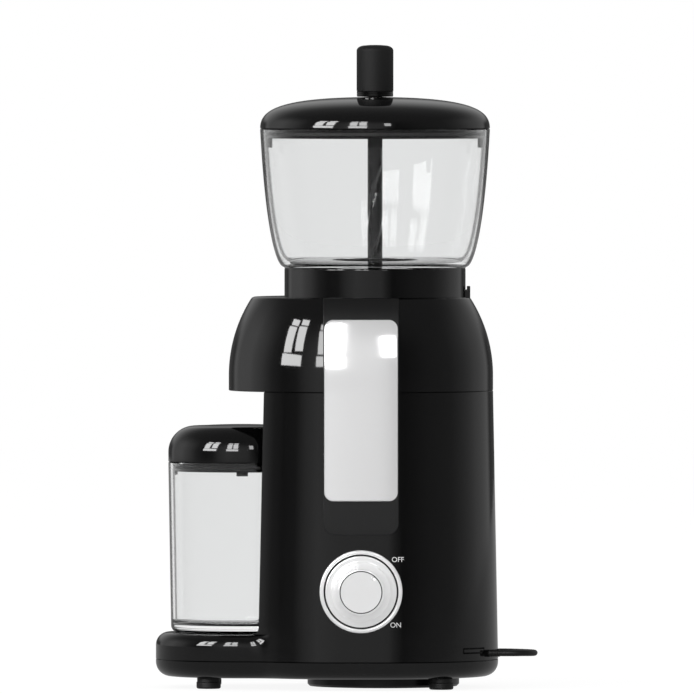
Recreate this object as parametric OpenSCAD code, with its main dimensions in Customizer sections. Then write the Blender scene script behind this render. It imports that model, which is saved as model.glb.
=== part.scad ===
// Peanut butter machine: a home nut grinder with a lidded clear hopper on top, a jar under the overhanging head
// and a motor, gears and burrs inside. Millimetres, +Z up, the jar towards -X and the dial towards -Y.
// The origin is on the table, under the middle of the machine's own box.

/* [Body] */
// Length of the flat side between the two round ends of the body, in plan
body_straight = 24; // [18:1:40]
// Plan radius of the body's ends at the base seam
base_r = 73.8; // [72:0.1:82]
// Plan radius of the body's ends at the seam under the head
seam_r = 70.6; // [69:0.1:78]
// Distance of the grinder's axis behind the middle of the body
axis_offset = 8.8; // [5:0.2:12]
// Wall thickness of the black housings
wall = 2.8; // [2:0.1:3.4]
// Clearance between pieces that are laid into one another
fit_gap = 0.15; // [0.1:0.05:0.3]

/* [Heights] */
// Height of the feet
foot_h = 6.9; // [5:0.1:10]
// Height of the base pan
pan_h = 10.6; // [10:0.1:16]
// Height of the jar tray above the base seam
tray_h = 17; // [14:0.5:24]
// Height of the column, from the base seam to the head
column_h = 167.9; // [162:0.1:200]
// Height of the head
head_h = 58.6; // [58:0.1:70]
// Height of the collar under the hopper
collar_h = 18; // [14:0.5:24]
// Height of the hopper above the collar
hopper_h = 86.8; // [70:0.1:110]
// Height of the hopper lid's dome above the hopper's rim
lid_h = 20; // [16:0.5:28]
// Height of the stirrer knob above the dome
knob_h = 32.5; // [24:0.5:40]

/* [Base] */
// Radius of the rounded lower edge of the base pan
pan_edge = 9; // [6:0.5:9.5]
// Radius of the round vent cover under the base
vent_r = 47.4; // [40:0.2:50]
// Distance of the vent cover's middle behind the grinder's axis
vent_x = 5.2; // [0:0.2:8]
// Clearance of the vent cover above the table
vent_lift = 0.8; // [0.5:0.1:2]
// Number of air slots in the vent cover
vent_slots = 7; // [5:2:9]
// Width of each air slot
slot_w = 4; // [3:0.5:5]
// Radius of the feet
foot_r = 7.6; // [6:0.2:9]
// Distance of the front feet ahead of the jar's axis
foot_front = 21; // [10:1:28]
// Half distance between the two front feet
foot_front_y = 30; // [20:1:33]
// Distance of the rear feet behind the grinder's axis
foot_rear = 41.2; // [38:0.5:48]
// Half distance between the two rear feet
foot_rear_y = 46; // [45:0.5:48]
// Thread radius of the screws
screw_r = 1.6; // [1.2:0.1:2]
// Head radius of the screws
screw_head_r = 3; // [2.6:0.1:3.4]
// Head height of the screws
screw_head_h = 2.4; // [1.8:0.1:3]

/* [Jar bay] */
// Distance of the jar's axis ahead of the grinder's axis
jar_reach = 82.8; // [80:0.2:90]
// Radius of the jar tray
tray_r = 54.2; // [50:0.2:60]
// Radius of the rounded upper edge of the tray
tray_edge = 8; // [5:0.5:10]
// Radius of the niche in the column that the jar stands in
niche_r = 52.6; // [50:0.2:54]
// Radius of the hollow blend, in plan, where the tray's side runs into the column
tray_blend = 20; // [14:0.5:26]

/* [Jar] */
// Radius of the jar at its rim
jar_r = 46.4; // [40:0.2:48]
// Radius of the jar at its foot
jar_foot_r = 44.7; // [38:0.2:46]
// Height of the jar
jar_h = 106.2; // [90:0.2:110]
// Wall thickness of the jar
jar_wall = 2.5; // [1.8:0.1:3]
// Floor thickness of the jar
jar_floor = 4.6; // [3:0.2:6]
// Height of the jar lid's dome above the jar's rim
jar_lid_h = 23.6; // [16:0.2:26]
// Depth of the jar lid's skirt inside the jar
jar_skirt_h = 5.6; // [4:0.2:8]
// Width of the lugs on the jar lid
lug_w = 7.2; // [5:0.2:10]
// Depth of the lugs below the skirt
lug_h = 2.4; // [1.5:0.1:4]

/* [Head] */
// Height over which the head's side stays upright
shoulder_rise = 9.6; // [6:0.2:14]
// Radius of the head's rounded shoulder, in section
shoulder_r = 89; // [80:1:120]
// Height of the small rounded edge at the head's top
top_edge = 1.5; // [1:0.1:2.5]

/* [Side trim] */
// Half width of the black trim strip
trim_half_w = 23.5; // [18:0.5:26]
// Height of the trim strip's lower end above the table
trim_z = 97; // [90:0.5:110]
// Corner radius of the trim strip's lower end
trim_corner = 7.5; // [4:0.5:10]
// How far the trim strip stands proud of the body
trim_proud = 0.6; // [0.4:0.1:1.2]
// Depth of the pocket that the trim strip is laid into
trim_depth = 1.2; // [0.8:0.1:1.4]
// Half width of the silver panel
panel_half_w = 22.9; // [17:0.1:23]
// Height of the silver panel's lower end above the table
panel_z = 118; // [112:0.5:130]
// Length of the silver panel
panel_l = 112.6; // [90:0.2:114]
// Corner radius of the silver panel
panel_corner = 5.6; // [3:0.2:8]
// Thickness of the silver panel
panel_t = 1.8; // [1:0.1:2.5]
// Width and depth of the silver panel's softened edge
panel_soft = 0.7; // [0.4:0.1:0.9]

/* [Dial] */
// Height of the dial's axis above the table
dial_z = 61.8; // [58:0.1:64]
// Outer radius of the chrome bezel
bezel_r = 25.75; // [24:0.05:27]
// Width of the bezel's ring
bezel_w = 2.5; // [2:0.1:3]
// How far the bezel stands proud of the body
bezel_proud = 3.2; // [2:0.1:4]
// Gap between the bezel and the knob
dial_gap = 0.75; // [0.4:0.05:1]
// Radius of the dial knob's grip at its root
grip_r = 18; // [16:0.2:20]
// Radius of the dial knob's face
face_r = 14.4; // [12:0.2:15.5]
// How far the dial's face stands proud of the body
dial_proud = 14.5; // [12:0.1:18]
// Radius of the switch's shaft
shaft_r = 3; // [2.5:0.1:3.5]
// Side of the square switch body
switch_w = 26; // [22:0.5:30]
// Depth of the switch body
switch_d = 18; // [14:0.5:22]

/* [Collar and hopper] */
// Outer radius of the collar
collar_r = 56.6; // [54:0.1:57]
// Wall thickness of the collar
collar_wall = 3; // [2.4:0.1:3.4]
// Outer radius of the hopper's neck
neck_r = 28.9; // [27:0.1:28.9]
// Length of the hopper's neck below its floor
neck_h = 12; // [8:0.5:13]
// Running clearance of the hopper's neck in the collar
neck_gap = 0.3; // [0.2:0.05:0.5]
// Outer radius of the hopper at its rim
hopper_r = 71.8; // [66:0.1:78]
// Wall thickness of the hopper
hopper_wall = 2.4; // [1.8:0.1:2.8]
// Outer radius of the hopper's foot on the collar
hopper_foot_r = 57.2; // [56:0.1:58]
// How far the hopper's wall leans in below its rim
hopper_lean = 2.8; // [1:0.1:4]
// Depth below the rim over which the hopper's wall stays nearly straight
hopper_straight = 55; // [40:1:60]
// How far the hopper's wall has drawn in where it turns under
hopper_draw = 8.8; // [6:0.1:11]
// Width of the collar's catch
catch_w = 10; // [6:0.5:14]
// How far the collar's catch stands proud of the collar
catch_proud = 2.9; // [2:0.1:4]
// Height of the collar's catch above the head
catch_h = 6.6; // [4:0.2:9]

/* [Lid and stirrer] */
// Wall thickness of the two lids
lid_wall = 2.4; // [1.8:0.1:3]
// Depth of the hopper lid's skirt below the rim
skirt_h = 5.7; // [4:0.1:6.5]
// Width of the lugs on the hopper lid
lid_lug_w = 9; // [6:0.5:12]
// Depth of the hopper lid's lugs below its skirt
lid_lug_h = 6; // [4:0.2:8]
// Thickness of the hopper lid's lugs
lid_lug_t = 3.6; // [2:0.1:5]
// Clearance of a lid's skirt inside the wall that it closes
skirt_gap = 0.6; // [0.4:0.05:1]
// Thickness of a lid's skirt
skirt_t = 2.5; // [2:0.1:3]
// Radius of the stirrer knob
knob_r = 11.5; // [9:0.1:14]
// Radius of the stirrer rod
rod_r = 4.7; // [3.5:0.1:5.5]
// Distance of the stirrer rod's end above the collar
rod_lift = 3.5; // [3:0.1:8]
// Outer radius of the stirrer's bush
bush_r = 7; // [6.6:0.1:8]
// Depth of the lid's hub below the dome
hub_h = 12; // [8:0.5:14]
// Running clearance of the stirrer rod and the shafts
run_gap = 0.06; // [0.03:0.01:0.1]
// Running clearance between faces that turn past each other
face_gap = 0.4; // [0.3:0.05:0.6]

/* [Grinder] */
// Outer radius of the grinder cup
cup_r = 32; // [31.5:0.1:34]
// Wall thickness of the grinder cup
cup_wall = 3; // [2.4:0.1:3.4]
// Thickness of the grinder cup's floor
cup_floor = 4; // [3:0.2:6]
// Height of the outlet port above the cup's floor
port_h = 11; // [8:0.5:12]
// Half width of the outlet port
port_half_w = 7.5; // [5:0.5:9]
// Height of the burrs
burr_h = 20; // [16:0.5:24]
// Largest radius of the inner burr
burr_r = 23; // [20:0.2:24]
// Gap between the burrs
burr_gap = 0.8; // [0.5:0.1:1.2]
// Number of grooves in each burr
burr_grooves = 12; // [8:1:16]
// Radius of the feed auger's flight
auger_r = 23.5; // [20:0.1:24]
// Height of the feed auger
auger_h = 29; // [24:0.5:29]
// Radius of the feed auger's core
auger_core_r = 8; // [7:0.2:10]
// Turns of the feed auger's flight
auger_turns = 1.5; // [1:0.25:2]
// Radius of the spindle
spindle_r = 5; // [4:0.1:5.5]
// Distance of the spout ahead of the grinder's axis
spout_reach = 66; // [60:0.5:70]
// Outer radius of the spout
spout_r = 8.5; // [7.5:0.1:10]
// Wall thickness of the outlet chute
chute_wall = 2; // [1.5:0.1:2.4]

/* [Gears and decks] */
// Tooth size of the gears (module)
tooth = 0.95; // [0.9:0.01:1]
// Teeth on the motor's pinion
pinion_teeth = 12; // [12:1:14]
// Teeth on the spindle's gear
gear_teeth = 36; // [34:1:36]
// Face width of the gears
gear_w = 10; // [6:0.5:12]
// Thickness of the two decks
deck_t = 4; // [3:0.2:5]
// Clear height between the two decks
gear_room = 32.5; // [28:0.5:36]
// Radius of the standoffs between the decks
standoff_r = 4.5; // [3.5:0.1:5]
// Outer radius of the spindle's bearings
bearing_r = 11; // [10:0.1:12]
// Width of the spindle's bearings
bearing_w = 7; // [5:0.2:8]

/* [Motor] */
// Outer radius of the motor's stator
stator_r = 35; // [33:0.2:36]
// Length of the motor's stack
stack_h = 40; // [30:1:44]
// Radius of the rotor
rotor_r = 20; // [18:0.2:21]
// Air gap between the rotor and the stator
air_gap = 0.4; // [0.3:0.05:0.6]
// Radius of the rotor's shaft
rotor_shaft_r = 4; // [3.5:0.1:4.5]
// Height of the legs between the stack and the upper frame
leg_top = 26; // [24:0.5:30]
// Height of the legs between the stack and the lower frame
leg_low = 17; // [16.5:0.5:22]
// Thickness of the motor's frame plates
frame_t = 4; // [3:0.2:5]
// Outer radius of the motor's bearings
motor_bearing_r = 9; // [8:0.1:10]
// Width of the motor's bearings
motor_bearing_w = 5; // [4:0.2:6]
// Radius of the commutator
comm_r = 11; // [9:0.2:12]
// Radius of the cooling fan
fan_r = 26; // [22:0.2:27]
// Number of blades on the cooling fan
fan_blades = 9; // [6:1:12]

/* [Power cord] */
// Diameter of the cord
cord_d = 3.8; // [3.4:0.1:4]
// Diameter of the strain relief where it leaves the housing
relief_d = 5; // [4.6:0.1:6]
// Thickness of the plug
plug_t = 13.7; // [12:0.1:14]
// Length of the plug's body
plug_l = 36; // [30:0.5:40]
// Radius of the plug's pins
pin_r = 2; // [1.8:0.1:2.4]
// Length of the plug's pins
pin_l = 19; // [15:0.5:20]
// Half distance between the plug's pins
pin_half = 9.3; // [8:0.1:10]

/* [Hidden] */
$fn = 96;
// A cut runs this far past the face that it opens
over = 1;
// Steps along a rounded edge and along a long curve
edge_steps = 6;
curve_steps = 14;

// Heights above the table
z_pan = foot_h;
z_seam = z_pan + pan_h;
z_tray = z_seam + tray_h;
z_head = z_seam + column_h;
z_top = z_head + head_h;
z_collar = z_top + collar_h;
z_rim = z_collar + hopper_h;
z_dome = z_rim + lid_h;
z_shoulder = z_head + shoulder_rise;
z_edge = z_top - top_edge;

// Places in plan, from the grinder's axis
body_x = -axis_offset;
jar_x = -jar_reach;
spout_x = -spout_reach;

// The machine's own box, whose middle is the origin
tray_front = jar_x - tray_r;
body_rear = body_x + body_straight / 2 + base_r;
dial_seat = side_r(dial_z);
dial_front = dial_seat + dial_proud;
frame_x = (tray_front + body_rear) / 2;
frame_y = (base_r - dial_front) / 2;

// Inside levels, down from the head
z_cup = z_head + wall + face_gap;
z_mill = z_cup - deck_t;
z_gear_top = z_mill - gear_room;
z_deck = z_gear_top - deck_t;
z_cup_in = z_cup + cup_floor;
z_burr = z_cup_in + port_h + chute_wall;
z_auger = z_burr + burr_h + face_gap;
z_nut = z_auger + auger_h;
nut_h = 3.6;
seal_t = 0.6;
cup_rim = z_top - seal_t;
gear_lift = 7;
z_gear = z_gear_top + gear_lift;

// The motor hangs under the gear deck, one gear centre distance behind the spindle
motor_x = tooth * (pinion_teeth + gear_teeth) / 2;
z_stack_top = z_deck - frame_t - leg_top;
z_stack = z_stack_top - stack_h;
z_low_frame = z_stack - leg_low - frame_t;
leg_w = 8;
leg_t = 5;
leg_inset = 0.5;
leg_spot = stator_r - leg_t / 2 - leg_inset;
leg_angles = [45 : 90 : 315];

function side_r(z) = base_r + (seam_r - base_r) * (z - z_seam) / column_h;
function head_r(z) = z <= z_shoulder ? seam_r
    : seam_r - shoulder_r + sqrt(shoulder_r * shoulder_r - (z - z_shoulder) * (z - z_shoulder));
function body_r(z) = z < z_head ? side_r(z) : head_r(z);
function arc(c, r, a0, a1, n = edge_steps) =
    [for (i = [0 : n]) let (a = a0 + (a1 - a0) * i / n) c + r * [cos(a), sin(a)]];
function bezier(p, n = curve_steps) =
    [for (i = [0 : n]) let (t = i / n, u = 1 - t)
        u * u * u * p[0] + 3 * u * u * t * p[1] + 3 * u * t * t * p[2] + t * t * t * p[3]];
function reverse(list) = [for (i = [len(list) - 1 : -1 : 0]) list[i]];
function shift(list, d) = [for (p = list) p + d];
function round_rect(w, h, r) = concat(
    arc([w - r, r], r, -90, 0), arc([w - r, h - r], r, 0, 90),
    arc([r - w, h - r], r, 90, 180), arc([r - w, r], r, 180, 270));

// Moves the machine from the grinder's axis to the middle of its box
module place() {
    translate([-frame_x, -frame_y, 0]) children();
}

// Sweeps a half section (radius, height) round the stadium plan of the body
module stadium() {
    half = body_straight / 2;
    translate([body_x, 0, 0]) {
        for (end = [0, 180])
            rotate(end) translate([half, 0, 0]) rotate(-90) rotate_extrude(angle = 180) children();
        for (side = [0, 180])
            rotate(side) translate([-half, 0, 0]) rotate([90, 0, 90]) linear_extrude(body_straight) children();
    }
}

// Stadium with upright or drafted sides between two heights
module stadium_block(r0, r1, z0, z1) {
    stadium() polygon([[0, z0], [r0, z0], [r1, z1], [0, z1]]);
}

// The side of the body as a list of (radius, height), out to an offset
function side_line(z0, z1, grow) = concat(
    z0 < z_head ? [[body_r(z0) + grow, z0], [seam_r + grow, z_head]] : [[seam_r + grow, z0]],
    [for (i = [0 : curve_steps]) let (z = z_shoulder + (z1 - z_shoulder) * i / curve_steps)
        [head_r(z) + grow, z]]);

// A band that follows the flat side of the body, from one offset to another
module side_band(half_w, z0, z1, grow_in, grow_out) {
    band = concat(side_line(z0, z1, grow_in), reverse(side_line(z0, z1, grow_out)));
    translate([body_x - half_w, 0, 0]) rotate([90, 0, 90]) linear_extrude(2 * half_w)
        polygon([for (p = band) [-p[0], p[1]]]);
}

// A prism along Y on the dial side, drawn in (x, z) from the middle of the body
module side_prism(outline) {
    depth = base_r + dial_proud;
    translate([body_x, 0, 0]) rotate([90, 0, 0]) linear_extrude(depth) polygon(outline);
}

// The trim strip, grown all round by a clearance for its pocket
module trim_shape(gap, proud) {
    half = trim_half_w + gap;
    r = trim_corner + gap;
    rise = z_top - trim_z + gap + 2 * r;
    intersection() {
        side_band(half, trim_z - gap, z_top, -trim_depth - gap, proud);
        side_prism(shift(round_rect(half, rise, r), [0, trim_z - gap]));
    }
}

// Points along the dial's axis: local +Z is out towards the user, zero is the body's surface
module dial_place() {
    translate([body_x, -dial_seat, dial_z]) rotate([90, 0, 0]) children();
}

// Places of the base screws, near the wall of the pan
screw_post_r = 4.4;
post_web = 2.4;
post_clear = 1;
pilot_gap = 0.05;
rear_screw_a = 75;
tray_screw_a = 80;
rear_x = body_x + body_straight / 2;
front_x = body_x - body_straight / 2;
post_reach = pan_edge + screw_post_r + post_clear;
rear_screw_r = base_r - post_reach;
tray_screw_r = tray_r - post_reach;
rear_spots = [for (s = [-1, 1])
    [rear_x + rear_screw_r * cos(rear_screw_a), s * rear_screw_r * sin(rear_screw_a)]];
tray_spots = [for (s = [-1, 1])
    [jar_x + tray_screw_r * cos(tray_screw_a), s * tray_screw_r * sin(tray_screw_a)]];
base_spots = concat(rear_spots, tray_spots);
screw_grip = 9;
counterbore = 4;

module at_points(points) {
    for (p = points)
        translate([p[0], p[1], 0]) children();
}

// Hollow blends either side, where the tray's round meets the body's round: skins about an outside centre
// that bite a little into both rounds and stay inside their walls
blend_bite = 0.6;
blend_cover = 0.2;
blend_t = wall - blend_bite - blend_cover;
blend_run = 4;
blend_d = front_x - jar_x;
blend_a = tray_r + tray_blend - blend_bite;
blend_b = base_r + tray_blend - blend_bite;
blend_x = (blend_a * blend_a - blend_b * blend_b + blend_d * blend_d) / (2 * blend_d);
blend_y = sqrt(blend_a * blend_a - blend_x * blend_x);
blend_from = atan2(-blend_y, -blend_x);
blend_to = atan2(-blend_y, blend_d - blend_x);

// Section of a blend between the seam and a flat face, with a rounded edge at the face
function blend_section(z_face, edge) = let (
    s = z_face < z_seam ? 1 : -1, c = [tray_blend + edge, z_face + s * edge], end = tray_blend + edge + blend_run)
    concat([[tray_blend, z_seam]], arc(c, edge, 180, 180 + s * 90), [[end, z_face], [end, z_face + s * blend_t]],
        reverse(arc(c, edge - blend_t, 180, 180 + s * 90)), [[tray_blend + blend_t, z_seam]]);

module blend(z_face, edge) {
    for (s = [-1, 1])
        translate([jar_x + blend_x, s * blend_y, 0]) rotate(s > 0 ? blend_from : -blend_to)
            rotate_extrude(angle = blend_to - blend_from) polygon(blend_section(z_face, edge));
}

// Outer and inner forms of the pan: the tray's disc and the body's stadium with one rounded lower edge
module pan_form(inset) {
    r = pan_edge - inset;
    z0 = z_pan + inset;
    tray = tray_r - inset;
    body = base_r - inset;
    top = z_seam + (inset > 0 ? over : 0);
    translate([jar_x, 0, 0]) rotate_extrude()
        polygon(concat([[0, z0]], arc([tray - r, z0 + r], r, -90, 0), [[tray, top], [0, top]]));
    stadium()
        polygon(concat([[0, z0]], arc([body - r, z0 + r], r, -90, 0), [[body, top], [0, top]]));
}

vent_open = 9;

module base_pan() {
    color("#141414") difference() {
        union() {
            difference() {
                pan_form(0);
                pan_form(wall);
            }
            blend(z_pan, pan_edge);
            at_points(base_spots) translate([0, 0, z_pan + wall / 2])
                cylinder(r = screw_post_r, h = pan_h - wall / 2);
        }
        at_points(base_spots) {
            translate([0, 0, z_pan - over]) cylinder(r = screw_r + fit_gap, h = pan_h + 2 * over);
            translate([0, 0, z_pan - over]) cylinder(r = screw_head_r + fit_gap, h = counterbore + over);
        }
        translate([vent_x, 0, z_pan - over]) cylinder(r = vent_r - vent_open, h = wall + 2 * over);
    }
}

vent_wall = 2.4;
vent_chamfer = 1.4;
slot_pitch = 9;

module vent_cover() {
    color("#1b1b1b") translate([vent_x, 0, 0]) difference() {
        rotate_extrude() polygon([
            [0, vent_lift], [vent_r - vent_chamfer, vent_lift], [vent_r, vent_lift + vent_chamfer],
            [vent_r, z_pan], [vent_r - vent_wall, z_pan], [vent_r - vent_wall, vent_lift + vent_wall],
            [0, vent_lift + vent_wall]]);
        for (i = [0 : vent_slots - 1]) {
            y = (i - (vent_slots - 1) / 2) * slot_pitch;
            reach = sqrt(pow(vent_r - vent_open, 2) - y * y);
            translate([-reach, y - slot_w / 2, vent_lift - over]) cube([2 * reach, slot_w, vent_wall + 2 * over]);
        }
    }
}

foot_chamfer = 1.2;

module feet() {
    spots = [[jar_x - foot_front, -foot_front_y], [jar_x - foot_front, foot_front_y],
             [foot_rear, -foot_rear_y], [foot_rear, foot_rear_y]];
    color("#262626") at_points(spots) rotate_extrude() polygon([
        [0, 0], [foot_r - foot_chamfer, 0], [foot_r, foot_chamfer], [foot_r, z_pan], [0, z_pan]]);
}

module base_screws() {
    color("#9a9a9a") at_points(base_spots) rotate_extrude() polygon([
        [0, z_pan + counterbore - screw_head_h], [screw_head_r, z_pan + counterbore - screw_head_h],
        [screw_head_r, z_pan + counterbore], [screw_r, z_pan + counterbore], [screw_r, z_seam + screw_grip],
        [0, z_seam + screw_grip]]);
}

// Half height of the shelf that carries the gear deck, and its place on the flat sides
shelf_h = 8;
shelf_in = 10;
shelf_half = 18;
deck_gap = 0.6;
deck_screw_x = 10;
deck_screw_in = 6;
shelf_r = side_r(z_deck) - wall;

// Mouth of the cord in the rear of the lower housing, from the cord's own exit point
cord_exit = [108, -21, 22];
exit_y = cord_exit[1] + frame_y;
exit_x = cord_exit[0] + frame_x;

// Shallow label slot beside the cord
slot_x = 61.5;
slot_z = 24.7;
slot_l = 13.4;
slot_h = 3.8;
slot_depth = 0.6;

module lower_housing() {
    color("#121212") difference() {
        union() {
            difference() {
                union() {
                    translate([jar_x, 0, 0]) rotate_extrude() polygon(concat(
                        [[0, z_seam], [tray_r, z_seam]],
                        arc([tray_r - tray_edge, z_tray - tray_edge], tray_edge, 0, 90), [[0, z_tray]]));
                    difference() {
                        stadium_block(base_r, seam_r, z_seam, z_head);
                        translate([jar_x, 0, z_tray]) cylinder(r = niche_r, h = z_head);
                    }
                }
                translate([jar_x, 0, 0]) rotate_extrude() polygon(concat(
                    [[0, z_seam - over], [tray_r - wall, z_seam - over]],
                    arc([tray_r - tray_edge, z_tray - tray_edge], tray_edge - wall, 0, 90), [[0, z_tray - wall]]));
                difference() {
                    stadium_block(base_r - wall, seam_r - wall, z_seam - over, z_head + over);
                    translate([jar_x, 0, z_tray - wall]) cylinder(r = niche_r + wall, h = z_head);
                }
            }
            blend(z_tray, tray_edge);
            // Shelves for the gear deck, on both flat sides
            intersection() {
                stadium_block(side_r(z_seam) - wall / 2, seam_r - wall / 2, z_seam, z_head);
                for (s = [-1, 1])
                    translate([body_x - shelf_half, s > 0 ? shelf_r - shelf_in : -base_r, z_deck - shelf_h])
                        cube([2 * shelf_half, base_r - shelf_r + shelf_in, shelf_h]);
            }
            at_points(base_spots) translate([0, 0, z_seam]) cylinder(r = screw_post_r, h = tray_h - wall / 2);
            for (p = rear_spots)
                translate([p[0], p[1], z_seam]) rotate(atan2(p[1], p[0] - rear_x)) translate([0, -post_web / 2, 0])
                    cube([post_reach - wall / 2, post_web, tray_h - wall / 2]);
        }
        at_points(base_spots) translate([0, 0, z_seam - over])
            cylinder(r = screw_r + pilot_gap, h = screw_grip + 2 * over);
        at_points(deck_screw_spots) translate([0, 0, z_deck - deck_screw_l])
            cylinder(r = screw_r + pilot_gap, h = deck_screw_l + over);
        trim_shape(fit_gap, dial_proud);
        dial_place() translate([0, 0, -dial_seat / 2]) cylinder(r = bezel_r + fit_gap, h = dial_seat);
        translate([exit_x - relief_l, exit_y, cord_exit[2]]) rotate([0, 90, 0])
            cylinder(r = relief_d / 2 + fit_gap, h = relief_l);
        intersection() {
            difference() {
                stadium_block(base_r + over, seam_r + over, z_seam, z_head);
                stadium_block(base_r - slot_depth, seam_r - slot_depth, z_seam, z_head);
            }
            translate([slot_x - slot_l / 2, -base_r - over, slot_z - slot_h / 2]) cube([slot_l, base_r, slot_h]);
        }
    }
}

deck_screw_l = 6;
deck_screw_spots = [for (x = [-deck_screw_x, deck_screw_x], s = [-1, 1])
    [body_x + x, s * (shelf_r - deck_screw_in)]];

// Section of the head from its lower edge to its rounded top edge
edge_slope = asin((z_edge - z_shoulder) / shoulder_r);
edge_r = top_edge / (1 - sin(edge_slope));
function shoulder_line(z_end, inset) = [for (i = [0 : curve_steps])
    let (z = z_shoulder + (z_end - z_shoulder) * i / curve_steps) [head_r(z) - inset, z]];
head_section = concat([[0, z_head], [seam_r, z_head]], shoulder_line(z_edge, 0),
    arc([head_r(z_edge) - edge_r * cos(edge_slope), z_top - edge_r], edge_r, edge_slope, 90), [[0, z_top]]);
head_lining = concat([[0, z_head - over], [seam_r - wall, z_head - over]], shoulder_line(z_edge - wall, wall),
    [[0, z_edge - wall]]);

catch_sink = 1;

module upper_housing() {
    color("#121212") difference() {
        stadium() polygon(head_section);
        difference() {
            stadium() polygon(head_lining);
            translate([jar_x, 0, z_head - 2 * over]) cylinder(r = niche_r + wall, h = wall + 2 * over);
        }
        translate([0, 0, z_top - head_h / 2]) cylinder(r = cup_r + deck_gap, h = head_h);
        translate([spout_x, 0, z_head - over]) cylinder(r = spout_r + fit_gap, h = wall + 2 * over);
        trim_shape(fit_gap, dial_proud);
        catch_block(fit_gap, catch_h);
    }
}

module side_trim() {
    color("#242424") trim_shape(0, trim_proud);
}

module silver_panel() {
    outer = shift(round_rect(panel_half_w, panel_l, panel_corner), [0, panel_z]);
    inner = shift(round_rect(panel_half_w - panel_soft, panel_l - 2 * panel_soft, panel_corner - panel_soft),
        [0, panel_z + panel_soft]);
    color("#d6d6d6") {
        intersection() {
            side_band(panel_half_w, trim_z, z_top, trim_proud, trim_proud + panel_t - panel_soft);
            side_prism(outer);
        }
        intersection() {
            side_band(panel_half_w, trim_z, z_top, trim_proud + panel_t - panel_soft, trim_proud + panel_t);
            side_prism(inner);
        }
    }
}

// Depths of the dial's parts along its axis, from the body's surface
bezel_back = -3.4;
bezel_floor = -1.2;
bezel_floor_t = 1.6;
bezel_round = 1;
bushing_r = 4.6;
knob_back = bezel_floor + bezel_floor_t + face_gap;
flange_t = 2.6;
flange_front = knob_back + flange_t;
face_round = 1.6;
face_dish = 0.8;
shaft_depth = 8;

module dial_bezel() {
    in_r = bezel_r - bezel_w;
    color("#dcdcdc") dial_place() rotate_extrude() polygon(concat(
        [[bushing_r + fit_gap, bezel_floor], [in_r - bezel_w, bezel_floor], [in_r - bezel_w, bezel_back],
         [bezel_r, bezel_back]],
        arc([bezel_r - bezel_round, bezel_proud - bezel_round], bezel_round, 0, 90),
        arc([in_r + bezel_round, bezel_proud - bezel_round], bezel_round, 90, 180),
        [[in_r, bezel_floor + bezel_floor_t], [bushing_r + fit_gap, bezel_floor + bezel_floor_t]]));
}

module dial_knob() {
    flange_r = bezel_r - bezel_w - dial_gap;
    color("#cfcfcf") dial_place() rotate_extrude() polygon(concat(
        [[shaft_r + run_gap, knob_back], [flange_r, knob_back], [flange_r, flange_front - face_dish],
         [flange_r - face_dish, flange_front], [grip_r, flange_front],
         [face_r + face_round / 2, dial_proud - face_round]],
        [[face_r, dial_proud], [face_r - face_round, dial_proud - face_dish], [0, dial_proud - face_dish],
         [0, knob_back + shaft_depth], [shaft_r + run_gap, knob_back + shaft_depth]]));
}

module switch_shaft() {
    color("#b8b8b8") dial_place() translate([0, 0, bezel_floor - switch_d / 2])
        cylinder(r = shaft_r, h = knob_back + shaft_depth - bezel_floor + switch_d / 2);
}

tab_l = 7;
tab_w = 4.8;
tab_t = 0.8;

module rotary_switch() {
    color("#5a5048") dial_place() difference() {
        union() {
            translate([-switch_w / 2, -switch_w / 2, bezel_floor - switch_d])
                cube([switch_w, switch_w, switch_d]);
            translate([0, 0, bezel_floor - over]) cylinder(r = bushing_r, h = bezel_floor_t + over);
            for (s = [-1, 1])
                translate([s * switch_w / 4 - tab_w / 2, -tab_t / 2, bezel_floor - switch_d - tab_l])
                    cube([tab_w, tab_t, tab_l + over]);
        }
        translate([0, 0, bezel_floor - switch_d / 2 - run_gap]) cylinder(r = shaft_r + run_gap, h = switch_d);
    }
}

// The catch is a U in front view: two prongs either side of the collar's wall line
catch_in = 2.6;
catch_notch = 1.6;
catch_notch_h = 2.2;

module catch_block(gap, h) {
    x0 = collar_r - catch_in - gap;
    translate([x0, -catch_w / 2 - gap, z_top - catch_sink - gap])
        cube([catch_in + catch_proud + 2 * gap, catch_w + 2 * gap, catch_sink + h + 2 * gap]);
}

module collar_catch() {
    color("#101010") difference() {
        catch_block(0, catch_h);
        translate([collar_r - catch_notch / 2, -catch_w, z_top + catch_h - catch_notch_h])
            cube([catch_notch, 2 * catch_w, catch_notch_h + over]);
    }
}

collar_step = 0.8;

module hopper_collar() {
    in_r = neck_r + neck_gap;
    color("#111111") difference() {
        rotate_extrude() polygon([
            [in_r, z_top], [in_r + collar_wall, z_top], [in_r + collar_wall, z_collar - collar_wall],
            [collar_r - collar_wall, z_collar - collar_wall], [collar_r - collar_wall, z_top], [collar_r, z_top],
            [collar_r, z_collar - collar_step], [collar_r - collar_step, z_collar], [in_r, z_collar]]);
        catch_block(fit_gap, catch_h);
    }
}

module chamber_seal() {
    color("#8a8a88") translate([0, 0, cup_rim]) difference() {
        cylinder(r = cup_r, h = seal_t);
        translate([0, 0, -over]) cylinder(r = cup_r - cup_wall, h = seal_t + 2 * over);
    }
}

// Half sections of the hopper's wall, drawn as one curve from the rim to the foot
foot_turn = 0.6;
foot_bend = 2;
hopper_curve = [[hopper_r, z_rim], [hopper_r - hopper_lean, z_rim - hopper_straight],
    [hopper_r - hopper_draw, z_collar + foot_bend], [hopper_foot_r, z_collar + foot_turn]];
hopper_lining = [hopper_curve[0] - [hopper_wall, 0], hopper_curve[1] - [hopper_wall, 0],
    hopper_curve[2] + [-hopper_wall, hopper_wall], hopper_curve[3] + [-hopper_wall, hopper_wall]];
// Inner radius of the hopper at its rim
mouth_r = hopper_r - hopper_wall;
// Lean of the hopper's wall just below the rim, for what hangs inside it
rim_lean = hopper_lean / hopper_straight;

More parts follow.
